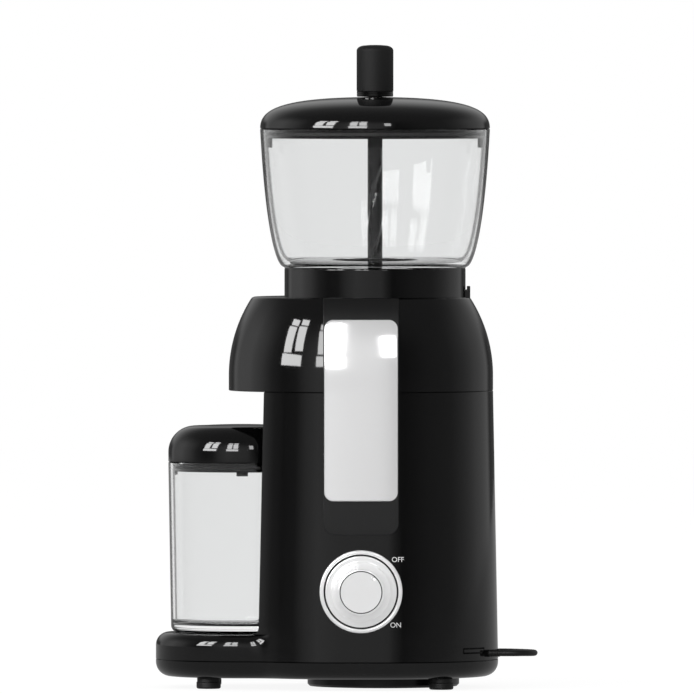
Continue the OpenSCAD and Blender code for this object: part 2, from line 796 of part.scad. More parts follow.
module hopper() {
    z_in = z_collar + hopper_wall;
    color([0.86, 0.88, 0.9, 0.35]) {
        rotate_extrude() polygon(concat(
            bezier(hopper_curve),
            [[hopper_foot_r - foot_turn, z_collar], [neck_r, z_collar], [neck_r, z_collar - neck_h],
             [neck_r - hopper_wall, z_collar - neck_h], [neck_r - hopper_wall, z_in]],
            [[hopper_lining[3][0] - foot_turn, z_in]],
            reverse(bezier(hopper_lining))));
    }
}

// A lug's face stands in from the skirt's
lug_in = 0.6;

// Shape of the hopper lid's dome: upright at the rim, level at the middle
dome_rise = 12;
dome_reach = 60;

module hopper_lid() {
    dome = [[hopper_r, z_rim + foot_turn], [hopper_r, z_rim + dome_rise], [dome_reach, z_dome], [0, z_dome]];
    inside = [[hopper_r - lid_wall, z_rim + lid_wall], [hopper_r - lid_wall, z_rim + dome_rise - lid_wall],
        [dome_reach, z_dome - lid_wall], [bush_r, z_dome - lid_wall]];
    skirt = mouth_r - rim_lean * skirt_h - skirt_gap;
    color("#131313") difference() {
        union() {
            difference() {
                rotate_extrude() polygon(concat([[0, z_rim], [hopper_r - foot_turn, z_rim]], bezier(dome)));
                rotate_extrude() polygon(concat([[0, z_rim - over], [skirt - skirt_t, z_rim - over],
                    [skirt - skirt_t, z_rim + lid_wall]], bezier(inside), [[0, z_dome - lid_wall]]));
            }
            translate([0, 0, z_rim - skirt_h]) difference() {
                cylinder(r = skirt, h = skirt_h + lid_wall / 2);
                translate([0, 0, -over]) cylinder(r = skirt - skirt_t, h = skirt_h + lid_wall + 2 * over);
            }
            translate([0, 0, z_dome - hub_h]) cylinder(r = bush_r + skirt_t, h = hub_h - lid_wall / 2);
            for (a = [0 : 90 : 270])
                rotate(a) translate([skirt - lug_in - lid_lug_t, -lid_lug_w / 2, z_rim - skirt_h - lid_lug_h])
                    cube([lid_lug_t, lid_lug_w, lid_lug_h + over]);
        }
        translate([0, 0, z_dome - hub_h - over]) cylinder(r = bush_r, h = hub_h + 2 * over);
        translate([0, 0, z_rim - skirt_h + seal_drop]) difference() {
            cylinder(r = mouth_r, h = seal_h);
            translate([0, 0, -over]) cylinder(r = skirt - seal_in, h = seal_h + 2 * over);
        }
    }
}

// The lid seals lie in a groove round the skirt and stand a little proud of it
seal_drop = 1.8;
seal_h = 2;
seal_in = 1.2;
seal_out = 0.3;
seal_gap = 0.05;

module seal_ring(r, z) {
    translate([0, 0, z + seal_drop + seal_gap]) difference() {
        cylinder(r = r + seal_out, h = seal_h - 2 * seal_gap);
        translate([0, 0, -over]) cylinder(r = r - seal_in + seal_gap, h = seal_h + 2 * over);
    }
}

module lid_seal() {
    color("#6d6d6b") seal_ring(mouth_r - rim_lean * skirt_h - skirt_gap, z_rim - skirt_h);
}

module lid_bush() {
    color("#e4e2da") translate([0, 0, z_dome - hub_h]) difference() {
        cylinder(r = bush_r, h = hub_h);
        translate([0, 0, -over]) cylinder(r = rod_r + run_gap, h = hub_h + 2 * over);
    }
}

knob_round = 2;
knob_skirt = 1;
knob_ring_h = 5;
knob_groove = 0.5;
knob_bore = 14;

module stirrer_knob() {
    z0 = z_dome + face_gap;
    z1 = z_dome + knob_h;
    zr = z0 + knob_ring_h;
    color("#232323") rotate_extrude() polygon(concat(
        [[rod_r + run_gap, z0], [knob_r - knob_skirt, z0], [knob_r, z0 + knob_skirt], [knob_r, zr],
         [knob_r - knob_groove, zr + knob_groove], [knob_r, zr + 2 * knob_groove]],
        arc([knob_r - knob_round, z1 - knob_round], knob_round, 0, 90),
        [[0, z1], [0, z0 + knob_bore], [rod_r + run_gap, z0 + knob_bore]]));
}

module stirrer_rod() {
    z0 = z_collar + rod_lift;
    color("#2c2c2c") translate([0, 0, z0]) cylinder(r = rod_r, h = z_dome + face_gap + knob_bore - z0);
}

clip_h = 1.2;
clip_w = 3;

module rod_clip() {
    color("#b0b0b0") translate([0, 0, z_dome - hub_h - face_gap - clip_h]) difference() {
        cylinder(r = rod_r + clip_w, h = clip_h);
        translate([0, 0, -over]) cylinder(r = rod_r + pilot_gap, h = clip_h + 2 * over);
    }
}

// The jar stands on the tray
z_jar = z_tray;
z_jar_rim = z_jar + jar_h;
z_jar_top = z_jar_rim + jar_lid_h;
jar_edge = 4;
jar_mouth_r = jar_r - jar_wall;
jar_draft = (jar_r - jar_foot_r) / jar_h;

module jar() {
    inner_foot = jar_foot_r - jar_wall + jar_draft * jar_floor;
    color([0.86, 0.88, 0.9, 0.35]) translate([jar_x, 0, 0]) rotate_extrude() polygon(concat(
        [[0, z_jar]], arc([jar_foot_r - jar_edge, z_jar + jar_edge], jar_edge, -90, 0),
        [[jar_r, z_jar_rim], [jar_mouth_r, z_jar_rim]],
        reverse(arc([inner_foot - jar_edge, z_jar + jar_floor + jar_edge], jar_edge, -90, 0)),
        [[0, z_jar + jar_floor]]));
}

jar_shoulder_share = 0.69;
jar_crown = 1;
jar_shoulder = jar_shoulder_share * jar_lid_h;
// The jar lid's dome: a rounded shoulder under a slightly crowned top, or the same line further in
function jar_dome(inset) = let (flat = jar_r - jar_shoulder, top = z_jar_top - inset) concat(
    arc([flat, z_jar_top - jar_crown - jar_shoulder], jar_shoulder - inset, 0, 90),
    bezier([[flat, top - jar_crown], [flat * 2 / 3, top - jar_crown / 3], [flat / 3, top], [0, top]]));

module jar_lid() {
    skirt = jar_mouth_r - jar_draft * jar_skirt_h - skirt_gap;
    z0 = z_jar_rim - jar_skirt_h;
    color("#131313") translate([jar_x, 0, 0]) difference() {
        union() {
            difference() {
                rotate_extrude() polygon(concat([[0, z_jar_rim], [jar_r - foot_turn, z_jar_rim],
                    [jar_r, z_jar_rim + foot_turn]], jar_dome(0)));
                rotate_extrude() polygon(concat([[0, z_jar_rim - over], [skirt - skirt_t, z_jar_rim - over],
                    [skirt - skirt_t, z_jar_rim + lid_wall], [jar_r - lid_wall, z_jar_rim + lid_wall]],
                    jar_dome(lid_wall)));
            }
            translate([0, 0, z0]) difference() {
                cylinder(r = skirt, h = jar_skirt_h + lid_wall / 2);
                translate([0, 0, -over]) cylinder(r = skirt - skirt_t, h = jar_skirt_h + lid_wall + 2 * over);
            }
            for (a = [0 : 90 : 270])
                rotate(a) translate([skirt - skirt_t, -lug_w / 2, z0 - lug_h])
                    cube([skirt_t - lug_in, lug_w, lug_h + over]);
        }
        translate([0, 0, z0 + seal_drop]) difference() {
            cylinder(r = jar_r, h = seal_h);
            translate([0, 0, -over]) cylinder(r = skirt - seal_in, h = seal_h + 2 * over);
        }
    }
}

module jar_seal() {
    color("#6d6d6b") translate([jar_x, 0, 0])
        seal_ring(jar_mouth_r - jar_draft * jar_skirt_h - skirt_gap, z_jar_rim - jar_skirt_h);
}

// Wider bore of the cup above the burrs' seat
burr_seat_w = 3;
cup_in_r = cup_r - cup_wall;
cup_screw_r = 20;
cup_screw_grip = 2.6;
cup_screw_spots = [for (a = [0, 120, 240]) cup_screw_r * [cos(a), sin(a)]];

module grinder_cup() {
    color("#b9bbbd") difference() {
        rotate_extrude() polygon([
            [spindle_r + face_gap, z_cup], [cup_r, z_cup], [cup_r, cup_rim], [cup_in_r, cup_rim],
            [cup_in_r, z_burr], [cup_in_r - burr_seat_w, z_burr], [cup_in_r - burr_seat_w, z_cup_in],
            [spindle_r + face_gap, z_cup_in]]);
        translate([-cup_r - over, -port_half_w, z_cup_in]) cube([cup_r, 2 * port_half_w, port_h]);
        at_points(cup_screw_spots) translate([0, 0, z_cup - over])
            cylinder(r = screw_r + pilot_gap, h = cup_screw_grip + over);
    }
}

burr_taper = 4;
groove_w = 2.4;
groove_d = 1.2;

module outer_burr() {
    low = burr_r - burr_taper + burr_gap;
    color("#77797c") difference() {
        rotate_extrude() polygon([
            [low, z_burr], [cup_in_r - fit_gap, z_burr], [cup_in_r - fit_gap, z_burr + burr_h],
            [burr_r + burr_gap, z_burr + burr_h]]);
        for (i = [0 : burr_grooves - 1])
            rotate(i * 360 / burr_grooves) translate([0, -groove_w / 2, z_burr - over])
                cube([burr_r + burr_gap + groove_d, groove_w, burr_h + 2 * over]);
    }
}

module inner_burr() {
    low = burr_r - burr_taper;
    color("#6f7174") difference() {
        rotate_extrude() polygon([
            [spindle_r + pilot_gap, z_burr], [low, z_burr], [burr_r, z_burr + burr_h],
            [spindle_r + pilot_gap, z_burr + burr_h]]);
        for (i = [0 : burr_grooves - 1])
            rotate((i + 0.5) * 360 / burr_grooves) translate([low - groove_d, -groove_w / 2, z_burr - over])
                cube([burr_r, groove_w, burr_h + 2 * over]);
    }
}

flight_steps = 24;
flight_t = 2.4;

module feed_auger() {
    n = flight_steps * auger_turns;
    rise = auger_h - flight_t;
    r0 = auger_core_r - over;
    flight = [for (i = [0 : n]) let (a = 360 * i / flight_steps, z = z_auger + rise * i / n)
        [for (p = [[r0, 0], [auger_r, 0], [auger_r, flight_t], [r0, flight_t]])
            [p[0] * cos(a), p[0] * sin(a), z + p[1]]]];
    color("#8e9093") difference() {
        union() {
            translate([0, 0, z_auger]) cylinder(r = auger_core_r, h = auger_h);
            rings_solid(flight);
        }
        translate([0, 0, z_auger - over]) cylinder(r = spindle_r + pilot_gap, h = auger_h + 2 * over);
    }
}

module auger_nut() {
    color("#c4c4c4") translate([0, 0, z_nut]) difference() {
        cylinder(r = auger_core_r, h = nut_h, $fn = 6);
        translate([0, 0, -over]) cylinder(r = spindle_r + pilot_gap, h = nut_h + 2 * over);
    }
}

module spindle() {
    color("#c8c8c8") translate([0, 0, z_deck]) cylinder(r = spindle_r, h = z_nut + nut_h - z_deck);
}

// Involute flank of a spur gear, with a little backlash
pressure = 25;
backlash = 0.12;
flank_steps = 4;
function involute(rb, r) = rb >= r ? 0 : tan(acos(rb / r)) * 180 / PI - acos(rb / r);
function gear_points(n) = let (
    rp = tooth * n / 2, rb = rp * cos(pressure), ra = rp + tooth, rr = rp - 1.25 * tooth, r0 = max(rb, rr),
    half = 90 / n - backlash / rp * 90 / PI + involute(rb, rp),
    flank = [for (k = [0 : flank_steps]) let (r = r0 + (ra - r0) * k / flank_steps) [r, half - involute(rb, r)]],
    side = concat([[rr, flank[0][1]]], flank))
    [for (i = [0 : n - 1], s = [-1, 1], k = [0 : len(side) - 1])
        let (p = s < 0 ? side[k] : side[len(side) - 1 - k], a = 360 * i / n + s * p[1]) p[0] * [cos(a), sin(a)]];

hub_wall = 2.5;
hub_gap = 1;
z_hub = z_deck + bearing_w + hub_gap;

module spindle_gear() {
    color("#e8e4d4") difference() {
        union() {
            translate([0, 0, z_gear]) linear_extrude(gear_w) polygon(gear_points(gear_teeth));
            translate([0, 0, z_hub]) cylinder(r = spindle_r + hub_wall, h = z_gear + gear_w / 2 - z_hub);
        }
        translate([0, 0, z_gear_top]) cylinder(r = spindle_r + pilot_gap, h = gear_room);
    }
}

// One bearing sits in the gear deck's boss, the other in the mill deck's boss
boss_wall = 3;
z_bearing_low = z_deck;
z_bearing_top = z_cup - bearing_w;

module bearing(x, z, r, bore, w) {
    translate([x, 0, z]) difference() {
        cylinder(r = r, h = w);
        translate([0, 0, -over]) cylinder(r = bore + run_gap, h = w + 2 * over);
    }
}

module spindle_bearings() {
    color("#bfc3c6") {
        bearing(0, z_bearing_low, bearing_r, spindle_r, bearing_w);
        bearing(0, z_bearing_top, bearing_r, spindle_r, bearing_w);
    }
}

// The chute carries the butter from the cup's port to the spout in the head's floor
chute_end = 2.6;
flange_w = 2.5;

module outlet_chute() {
    z_floor = z_head + wall;
    z_roof = z_cup_in + port_h;
    far = spout_reach + spout_r + chute_end;
    half = port_half_w + chute_wall;
    color("#d9d9d4") difference() {
        union() {
            translate([-far, -half, z_cup_in - chute_wall])
                cube([far - cup_r + cup_wall, 2 * half, port_h + 2 * chute_wall]);
            translate([spout_x, 0, z_head]) cylinder(r = spout_r, h = z_cup_in - z_head);
            translate([spout_x, 0, z_floor])
                cylinder(r = spout_r + flange_w, h = z_cup_in - z_floor - chute_wall / 2);
        }
        translate([chute_wall - far, -port_half_w, z_cup_in]) cube([far, 2 * port_half_w, port_h]);
        translate([0, 0, z_head]) cylinder(r = cup_r + seal_gap, h = head_h);
        translate([spout_x, 0, z_head - over]) cylinder(r = spout_r - chute_wall, h = z_roof - z_head);
    }
}

// Plan of a deck inside the column, clear of the wall and of the niche
module deck_plate(z) {
    r = side_r(z_head) - wall - deck_gap;
    difference() {
        stadium_block(r, r, z, z + deck_t);
        translate([jar_x, 0, z - over]) cylinder(r = niche_r + wall + deck_gap, h = deck_t + 2 * over);
    }
}

standoff_front = 12;
standoff_front_y = 41;
standoff_angle = 40;
standoff_clear = 4.6;
standoff_reach = seam_r - wall - standoff_r - standoff_clear;
standoff_spots = [for (s = [-1, 1])
    each [[-standoff_front, s * standoff_front_y],
          [rear_x, 0] + standoff_reach * [cos(standoff_angle), s * sin(standoff_angle)]]];
leg_spots = [for (a = leg_angles) leg_spot * [cos(a), sin(a)]];
motor_spots = [for (p = leg_spots) [motor_x, 0] + p];
shaft_clear = 3;

module gear_deck() {
    color("#a7abae") difference() {
        union() {
            deck_plate(z_deck);
            translate([0, 0, z_deck]) cylinder(r = bearing_r + boss_wall, h = bearing_w);
        }
        translate([0, 0, z_deck - over]) cylinder(r = bearing_r, h = bearing_w + 2 * over);
        translate([motor_x, 0, z_deck - over]) cylinder(r = rotor_shaft_r + shaft_clear, h = deck_t + 2 * over);
        at_points(concat(motor_spots, deck_screw_spots)) translate([0, 0, z_deck - over])
            cylinder(r = screw_r + fit_gap, h = deck_t + 2 * over);
    }
}

module mill_deck() {
    color("#a7abae") difference() {
        union() {
            deck_plate(z_mill);
            translate([0, 0, z_bearing_top]) cylinder(r = bearing_r + boss_wall, h = bearing_w);
        }
        translate([0, 0, z_bearing_top - over]) cylinder(r = bearing_r, h = bearing_w + 2 * over);
        at_points(cup_screw_spots) translate([0, 0, z_mill - over])
            cylinder(r = screw_r + fit_gap, h = deck_t + 2 * over);
    }
}

module deck_standoffs() {
    color("#c0c2c4") at_points(standoff_spots) translate([0, 0, z_gear_top])
        cylinder(r = standoff_r, h = gear_room);
}

// A pan-head screw that points down from a face
module screw_down(z, l) {
    translate([0, 0, z - l]) cylinder(r = screw_r, h = l + screw_head_h / 2);
    translate([0, 0, z]) cylinder(r = screw_head_r, h = screw_head_h);
}

module deck_screws() {
    color("#9a9a9a") at_points(deck_screw_spots) screw_down(z_gear_top, deck_t + deck_screw_l - over);
}

module motor_screws() {
    color("#9a9a9a") at_points(motor_spots) screw_down(z_gear_top, deck_t + motor_screw_l - over);
}

module cup_screws() {
    color("#9a9a9a") at_points(cup_screw_spots) {
        translate([0, 0, z_mill - screw_head_h]) cylinder(r = screw_head_r, h = screw_head_h);
        translate([0, 0, z_mill - screw_head_h / 2])
            cylinder(r = screw_r, h = deck_t + cup_screw_grip - over / 2 + screw_head_h / 2);
    }
}

motor_screw_l = 8;

module motor_stator() {
    color("#6b6d70") translate([motor_x, 0, z_stack]) difference() {
        cylinder(r = stator_r, h = stack_h);
        translate([0, 0, -over]) cylinder(r = rotor_r + air_gap, h = stack_h + 2 * over);
    }
}

coil_in = 1.4;
coil_w = 7;
coil_h = 5;
coil_span = 100;

module field_coils() {
    r0 = rotor_r + air_gap + coil_in;
    color("#b5682c") translate([motor_x, 0, 0])
        for (a = [-coil_span / 2, 180 - coil_span / 2], z = [z_stack - coil_h, z_stack_top])
            rotate(a) rotate_extrude(angle = coil_span) translate([r0, z]) square([coil_w, coil_h]);
}

module motor_legs(z, h) {
    for (a = leg_angles)
        rotate(a) translate([leg_spot - leg_t / 2, -leg_w / 2, z]) cube([leg_t, leg_w, h]);
}

motor_boss = 2.4;

module motor_upper_frame() {
    z0 = z_deck - frame_t;
    color("#a2a5a8") translate([motor_x, 0, 0]) difference() {
        union() {
            translate([0, 0, z0]) cylinder(r = stator_r, h = frame_t);
            translate([0, 0, z_deck - motor_bearing_w])
                cylinder(r = motor_bearing_r + motor_boss, h = motor_bearing_w);
            motor_legs(z_stack_top, leg_top + over);
        }
        translate([0, 0, z_deck - motor_bearing_w - over])
            cylinder(r = motor_bearing_r, h = motor_bearing_w + 2 * over);
        at_points(leg_spots) translate([0, 0, z_deck - motor_screw_l])
            cylinder(r = screw_r + pilot_gap, h = motor_screw_l + over);
    }
}

module motor_lower_frame() {
    color("#a2a5a8") translate([motor_x, 0, 0]) difference() {
        union() {
            translate([0, 0, z_low_frame]) cylinder(r = stator_r, h = frame_t);
            translate([0, 0, z_low_frame]) cylinder(r = motor_bearing_r + motor_boss, h = motor_bearing_w);
            motor_legs(z_stack - leg_low - over, leg_low + over);
        }
        translate([0, 0, z_low_frame - over]) cylinder(r = motor_bearing_r, h = motor_bearing_w + 2 * over);
    }
}

module motor_bearings() {
    color("#bfc3c6") {
        bearing(motor_x, z_deck - motor_bearing_w, motor_bearing_r, rotor_shaft_r, motor_bearing_w);
        bearing(motor_x, z_low_frame, motor_bearing_r, rotor_shaft_r, motor_bearing_w);
    }
}

// The commutator stands above the lower frame, with a brush on either side
comm_lift = 3;
comm_h = 8;
z_comm = z_low_frame + frame_t + comm_lift;
brush_gap = 0.3;
brush_w = 5;
brush_h = 5;
brush_l = 13;
holder_wall = 1.6;
holder_in = 3;

module brush_holders() {
    z0 = z_low_frame + frame_t;
    w = brush_w + 2 * (holder_wall + fit_gap);
    color("#3b2f2a") translate([motor_x, 0, 0]) for (s = [0, 180]) rotate(s) difference() {
        translate([-w / 2, comm_r + holder_in, z0]) cube([w, brush_l, comm_lift + brush_h + 2 * holder_wall]);
        translate([-brush_w / 2 - fit_gap, 0, z_comm + holder_wall - fit_gap])
            cube([brush_w + 2 * fit_gap, comm_r + holder_in + brush_l + over, brush_h + 2 * fit_gap]);
    }
}

module carbon_brushes() {
    color("#1c1c1e") translate([motor_x, 0, 0]) for (s = [0, 180]) rotate(s)
        translate([-brush_w / 2, comm_r + brush_gap, z_comm + holder_wall - fit_gap])
            cube([brush_w, brush_l, brush_h]);
}

shaft_tail = 6;

module rotor_shaft() {
    z0 = z_low_frame - shaft_tail;
    color("#c8c8c8") translate([motor_x, 0, z0]) cylinder(r = rotor_shaft_r, h = z_gear + gear_w + over - z0);
}

module rotor_sleeve(r, z, h) {
    translate([motor_x, 0, z]) difference() {
        cylinder(r = r, h = h);
        translate([0, 0, -over]) cylinder(r = rotor_shaft_r + pilot_gap, h = h + 2 * over);
    }
}

module rotor_core() {
    color("#7c7f82") rotor_sleeve(rotor_r, z_stack, stack_h);
}

module commutator() {
    color("#b87333") rotor_sleeve(comm_r, z_comm, comm_h);
}

fan_lift = 8;
fan_h = 10;
fan_plate = 2;
fan_hub = 5;
blade_t = 1.6;

module motor_fan() {
    z0 = z_stack_top + fan_lift;
    color("#2a2a2a") difference() {
        translate([motor_x, 0, z0]) {
            cylinder(r = fan_r, h = fan_plate);
            cylinder(r = rotor_shaft_r + fan_hub, h = fan_h);
            for (i = [0 : fan_blades - 1])
                rotate(i * 360 / fan_blades) translate([rotor_shaft_r + fan_hub / 2, -blade_t / 2, fan_plate / 2])
                    cube([fan_r - rotor_shaft_r - fan_hub / 2 - over, blade_t, fan_h - fan_plate / 2]);
        }
        translate([motor_x, 0, z0 - over]) cylinder(r = rotor_shaft_r + pilot_gap, h = fan_h + 2 * over);
    }
}

module motor_pinion() {
    color("#c9b26a") translate([motor_x, 0, z_gear]) difference() {
        rotate(180 / pinion_teeth) linear_extrude(gear_w) polygon(gear_points(pinion_teeth));
        translate([0, 0, -over]) cylinder(r = rotor_shaft_r + pilot_gap, h = gear_w + 2 * over);
    }
}

// A closed solid from rings of points with the same count each
module rings_solid(rings) {
    n = len(rings);
    sides = len(rings[0]);
    last = (n - 1) * sides;
    walls = [for (i = [0 : n - 2], k = [0 : sides - 1])
        let (a = i * sides + k, b = i * sides + (k + 1) % sides)
            each [[a, b, a + sides], [b, b + sides, a + sides]]];
    caps = [for (k = [1 : sides - 2]) each [[0, k + 1, k], [last, last + k, last + k + 1]]];
    polyhedron(points = [for (r = rings) each r], faces = concat(walls, caps));
}

// A round tube swept along points, closed at both ends
function unit(v) = v / norm(v);
function tangent(p, i) = unit(p[min(i + 1, len(p) - 1)] - p[max(i - 1, 0)]);
function across(t) = unit(cross(t, [0, 0, 1]));
module tube(points, d, sides) {
    rings_solid([for (i = [0 : len(points) - 1])
        let (t = tangent(points, i), u = across(t), v = cross(u, t))
            [for (k = [0 : sides - 1]) let (a = 360 * (k + 0.5) / sides)
                points[i] + d / 2 * (cos(a) * u + sin(a) * v)]]);
}

function path_length(p) = len(p) < 2 ? 0 : [for (i = 0, s = 0; i < len(p); i = i + 1,
    s = s + (i < len(p) ? norm(p[i] - p[i - 1]) : 0)) s][len(p) - 1];

// Leads inside the base: from the cord's inner end to the switch, and from the switch to a brush holder
lead_d = 2.4;
lead_sides = 8;
lead_seat = 0.3;
lead_run = 6;
relief_l = 24;
relief_tail = 1.2;
lead_way = [[30, -40, 30], [12, -44, 42], [3, -46, 52]];
brush_way = [[-8, -30, 54], [2, -26, 48], [16, -36, 50]];
brush_lead = [12, 62];

module wiring() {
    tab_x = switch_w / 4;
    tab_y = -dial_seat + switch_d + tab_l - bezel_floor;
    lead_x = exit_x - relief_l - lead_seat;
    brush_y = -comm_r - holder_in - brush_l;
    z_brush = z_low_frame + frame_t + 2 * lead_d;
    color("#3a3a3c") {
        tube(concat([[lead_x, exit_y, cord_exit[2]], [lead_x - lead_run, exit_y, cord_exit[2]]], lead_way,
            [[body_x + tab_x, tab_y + lead_run, dial_z], [body_x + tab_x, tab_y + lead_seat, dial_z]]),
            lead_d, lead_sides);
        tube(concat([[body_x - tab_x, tab_y + lead_seat, dial_z], [body_x - tab_x, tab_y + lead_run, dial_z]],
            brush_way,
            [[motor_x, brush_y - brush_lead[0], brush_lead[1]], [motor_x, brush_y - lead_d, z_brush],
             [motor_x, brush_y - lead_seat, z_brush]]), lead_d, lead_sides);
    }
}

// Route of the cord on the table, in the part's own frame: out at the rear, round behind and into the coil
cord_route = [cord_exit, [111, -21, 22], [114, -21, 22], [118, -20.5, 22], [122, -18.7, 22], [125.5, -15.5, 21.9],
    [128, -11.5, 21.8], [129.3, -7, 21.7], [129.7, 0, 21.6], [129, 10, 21.4], [127, 20, 21.2], [124, 30, 21],
    [119.5, 40, 20.8], [113.5, 50, 20.6], [106, 59, 20.2], [97.5, 67, 18.8], [88, 74, 15.9], [77, 80, 11.8],
    [66, 84.5, 7.9], [55, 87.6, 5], [44, 89.4, 3.4], [34, 90, 2.8], [24, 90, 2.8]];
coil_centre = [20, 117.5];
coil_outer = 27.5;
coil_step = 4.4;
coil_low = 2.8;
coil_half_turns = 2.5;
coil_rings = 24;
coil_sides = 6;
cord_sides = 8;
coil_climb = 0.25;
function coil_radius(s) = coil_outer - coil_step * (s < coil_half_turns ? s : 2 * coil_half_turns - s);
function coil_z(s) = coil_low + coil_step * max(0, min(1, (s - coil_half_turns + coil_climb) / (2 * coil_climb)));
function coil_point(s) = let (r = coil_radius(s), a = -90 - 360 * s)
    [coil_centre[0] + r * cos(a), coil_centre[1] + r * sin(a), coil_z(s)];
coil_turns = [for (i = [0 : 2 * coil_half_turns * coil_rings]) coil_point(i / coil_rings)];
// The cord's last stretch climbs over the coil to the plug that lies on it
coil_tail = [[12, 90.5, 7.9], [5, 92.6, 9.2], [-1, 97, 10.8], [-4.5, 103, 12.2], [-5.2, 110, 13.6],
    [-3.6, 117, 15.4], [0.4, 122.6, 16.9], [6, 125.6, 17.6], [10, 126, 17.8], [14, 126, 17.8]];
coil_path = concat([cord_route[len(cord_route) - 1]], coil_turns, coil_tail);
// Least distance between points of the winding that are more than a third of a turn apart
coil_apart = coil_rings / 3;
coil_last = len(coil_path) - 1;
function coil_gap() = min([for (i = [0 : coil_last - coil_apart], j = [i + coil_apart : coil_last])
    norm(coil_path[i] - coil_path[j])]) - cord_d;

module strain_relief() {
    flange_l = 3;
    color("#191919") translate([-relief_l, 0, 0] + cord_exit) rotate([0, 90, 0]) {
        cylinder(r1 = relief_d / 2, r2 = cord_d / 2 + relief_tail / 4, h = relief_l);
        cylinder(r = relief_d / 2 + relief_tail, h = flange_l);
    }
}

module power_cord() {
    echo(cord_length = path_length(cord_route) + path_length(coil_path));
    color("#151515") tube(cord_route, cord_d, cord_sides);
}

module cord_coil() {
    echo(coil_gap = coil_gap());
    color("#151515") tube(coil_path, cord_d, coil_sides);
}

tie_w = 9;
tie_t = 0.6;
tie_gap = 0.4;

module cord_tie() {
    half_r = coil_step * coil_half_turns / 2 + cord_d / 2 + tie_gap;
    mid = coil_outer - coil_step * coil_half_turns / 2;
    z0 = coil_low - cord_d / 2 - tie_gap;
    h = coil_step + cord_d + 2 * tie_gap;
    color("#2b2b2b") translate([coil_centre[0] + mid, coil_centre[1], z0]) difference() {
        translate([-half_r - tie_t, -tie_w / 2, -tie_t / 2]) cube([2 * (half_r + tie_t), tie_w, h + 1.5 * tie_t]);
        translate([-half_r, -tie_w, 0]) cube([2 * half_r, 2 * tie_w, h]);
    }
}

// The plug widens from the cord's end to the face with the pins
plug_neck = 6;
plug_waist = 8;
plug_side = 6;
plug_end = coil_path[len(coil_path) - 1];

module plug() {
    half = pin_half + plug_side;
    edge = [[0, plug_neck], [plug_l / 3, plug_waist], [plug_l * 2 / 3, half], [plug_l, half]];
    color("#171717") translate(plug_end + [0, 0, -plug_t / 2]) linear_extrude(plug_t)
        polygon(concat(edge, [for (p = reverse(edge)) [p[0], -p[1]]]));
}

module plug_pins() {
    color("#d0c8a8") for (s = [-1, 1])
        translate(plug_end + [plug_l, s * pin_half, 0]) rotate([0, 90, 0]) cylinder(r = pin_r, h = pin_l);
}

place() base_pan();
place() vent_cover();
place() feet();
place() base_screws();
place() lower_housing();
place() upper_housing();
place() side_trim();
place() silver_panel();
place() dial_bezel();
place() dial_knob();
place() switch_shaft();
place() rotary_switch();
place() hopper_collar();
place() collar_catch();
place() chamber_seal();
place() hopper();
place() hopper_lid();
place() lid_seal();
place() lid_bush();
place() stirrer_knob();
place() stirrer_rod();
place() rod_clip();
place() jar();
place() jar_lid();
place() jar_seal();
place() grinder_cup();
place() outer_burr();
place() inner_burr();
place() feed_auger();
place() auger_nut();
place() spindle();
place() spindle_gear();
place() spindle_bearings();
place() outlet_chute();
place() gear_deck();
place() mill_deck();
place() deck_standoffs();
place() deck_screws();
place() cup_screws();
place() motor_stator();
place() field_coils();
place() motor_upper_frame();
place() motor_lower_frame();
place() motor_bearings();
place() motor_screws();
place() brush_holders();
place() carbon_brushes();
place() rotor_shaft();
place() rotor_core();
place() commutator();
place() motor_fan();
place() motor_pinion();
place() wiring();
strain_relief();
power_cord();
cord_coil();
cord_tie();
plug();
plug_pins();
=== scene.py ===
"""Models the outer pieces, the finishes and the studio of a home nut-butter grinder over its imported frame."""

import math

import bmesh
import bpy
from bpy.props import FloatProperty, FloatVectorProperty, IntProperty, PointerProperty, StringProperty
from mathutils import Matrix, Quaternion, Vector


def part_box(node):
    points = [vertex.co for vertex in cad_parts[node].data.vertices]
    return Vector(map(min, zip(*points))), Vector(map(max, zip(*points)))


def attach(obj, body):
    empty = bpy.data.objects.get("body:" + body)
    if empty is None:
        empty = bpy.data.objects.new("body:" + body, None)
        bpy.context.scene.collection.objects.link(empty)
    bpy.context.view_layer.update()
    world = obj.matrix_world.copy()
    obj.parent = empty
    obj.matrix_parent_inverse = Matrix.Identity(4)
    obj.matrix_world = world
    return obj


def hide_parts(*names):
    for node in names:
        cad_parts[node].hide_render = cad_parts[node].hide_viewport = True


bl_info = {
    "name": "Nut Butter Grinder",
    "version": (1, 0, 0),
    "blender": (4, 5, 0),
    "location": "3D View > Sidebar > Grinder",
    "description": "Shell, hopper, jar, dial, cord and studio of a home nut-butter grinder",
    "category": "Object",
}

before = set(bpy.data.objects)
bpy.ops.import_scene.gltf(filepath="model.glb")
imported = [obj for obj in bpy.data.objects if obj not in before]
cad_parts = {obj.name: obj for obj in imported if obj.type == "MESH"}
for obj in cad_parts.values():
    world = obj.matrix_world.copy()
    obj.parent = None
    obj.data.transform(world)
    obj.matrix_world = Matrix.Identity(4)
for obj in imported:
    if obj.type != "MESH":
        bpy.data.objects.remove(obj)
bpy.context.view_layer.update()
UP = Vector((0, 0, 1))


def low(node):
    """Lowest corner of a node at rest."""
    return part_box(node)[0]


def high(node):
    """Highest corner of a node at rest."""
    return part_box(node)[1]


def middle(node):
    """Middle of a node's box at rest."""
    return (low(node) + high(node)) / 2


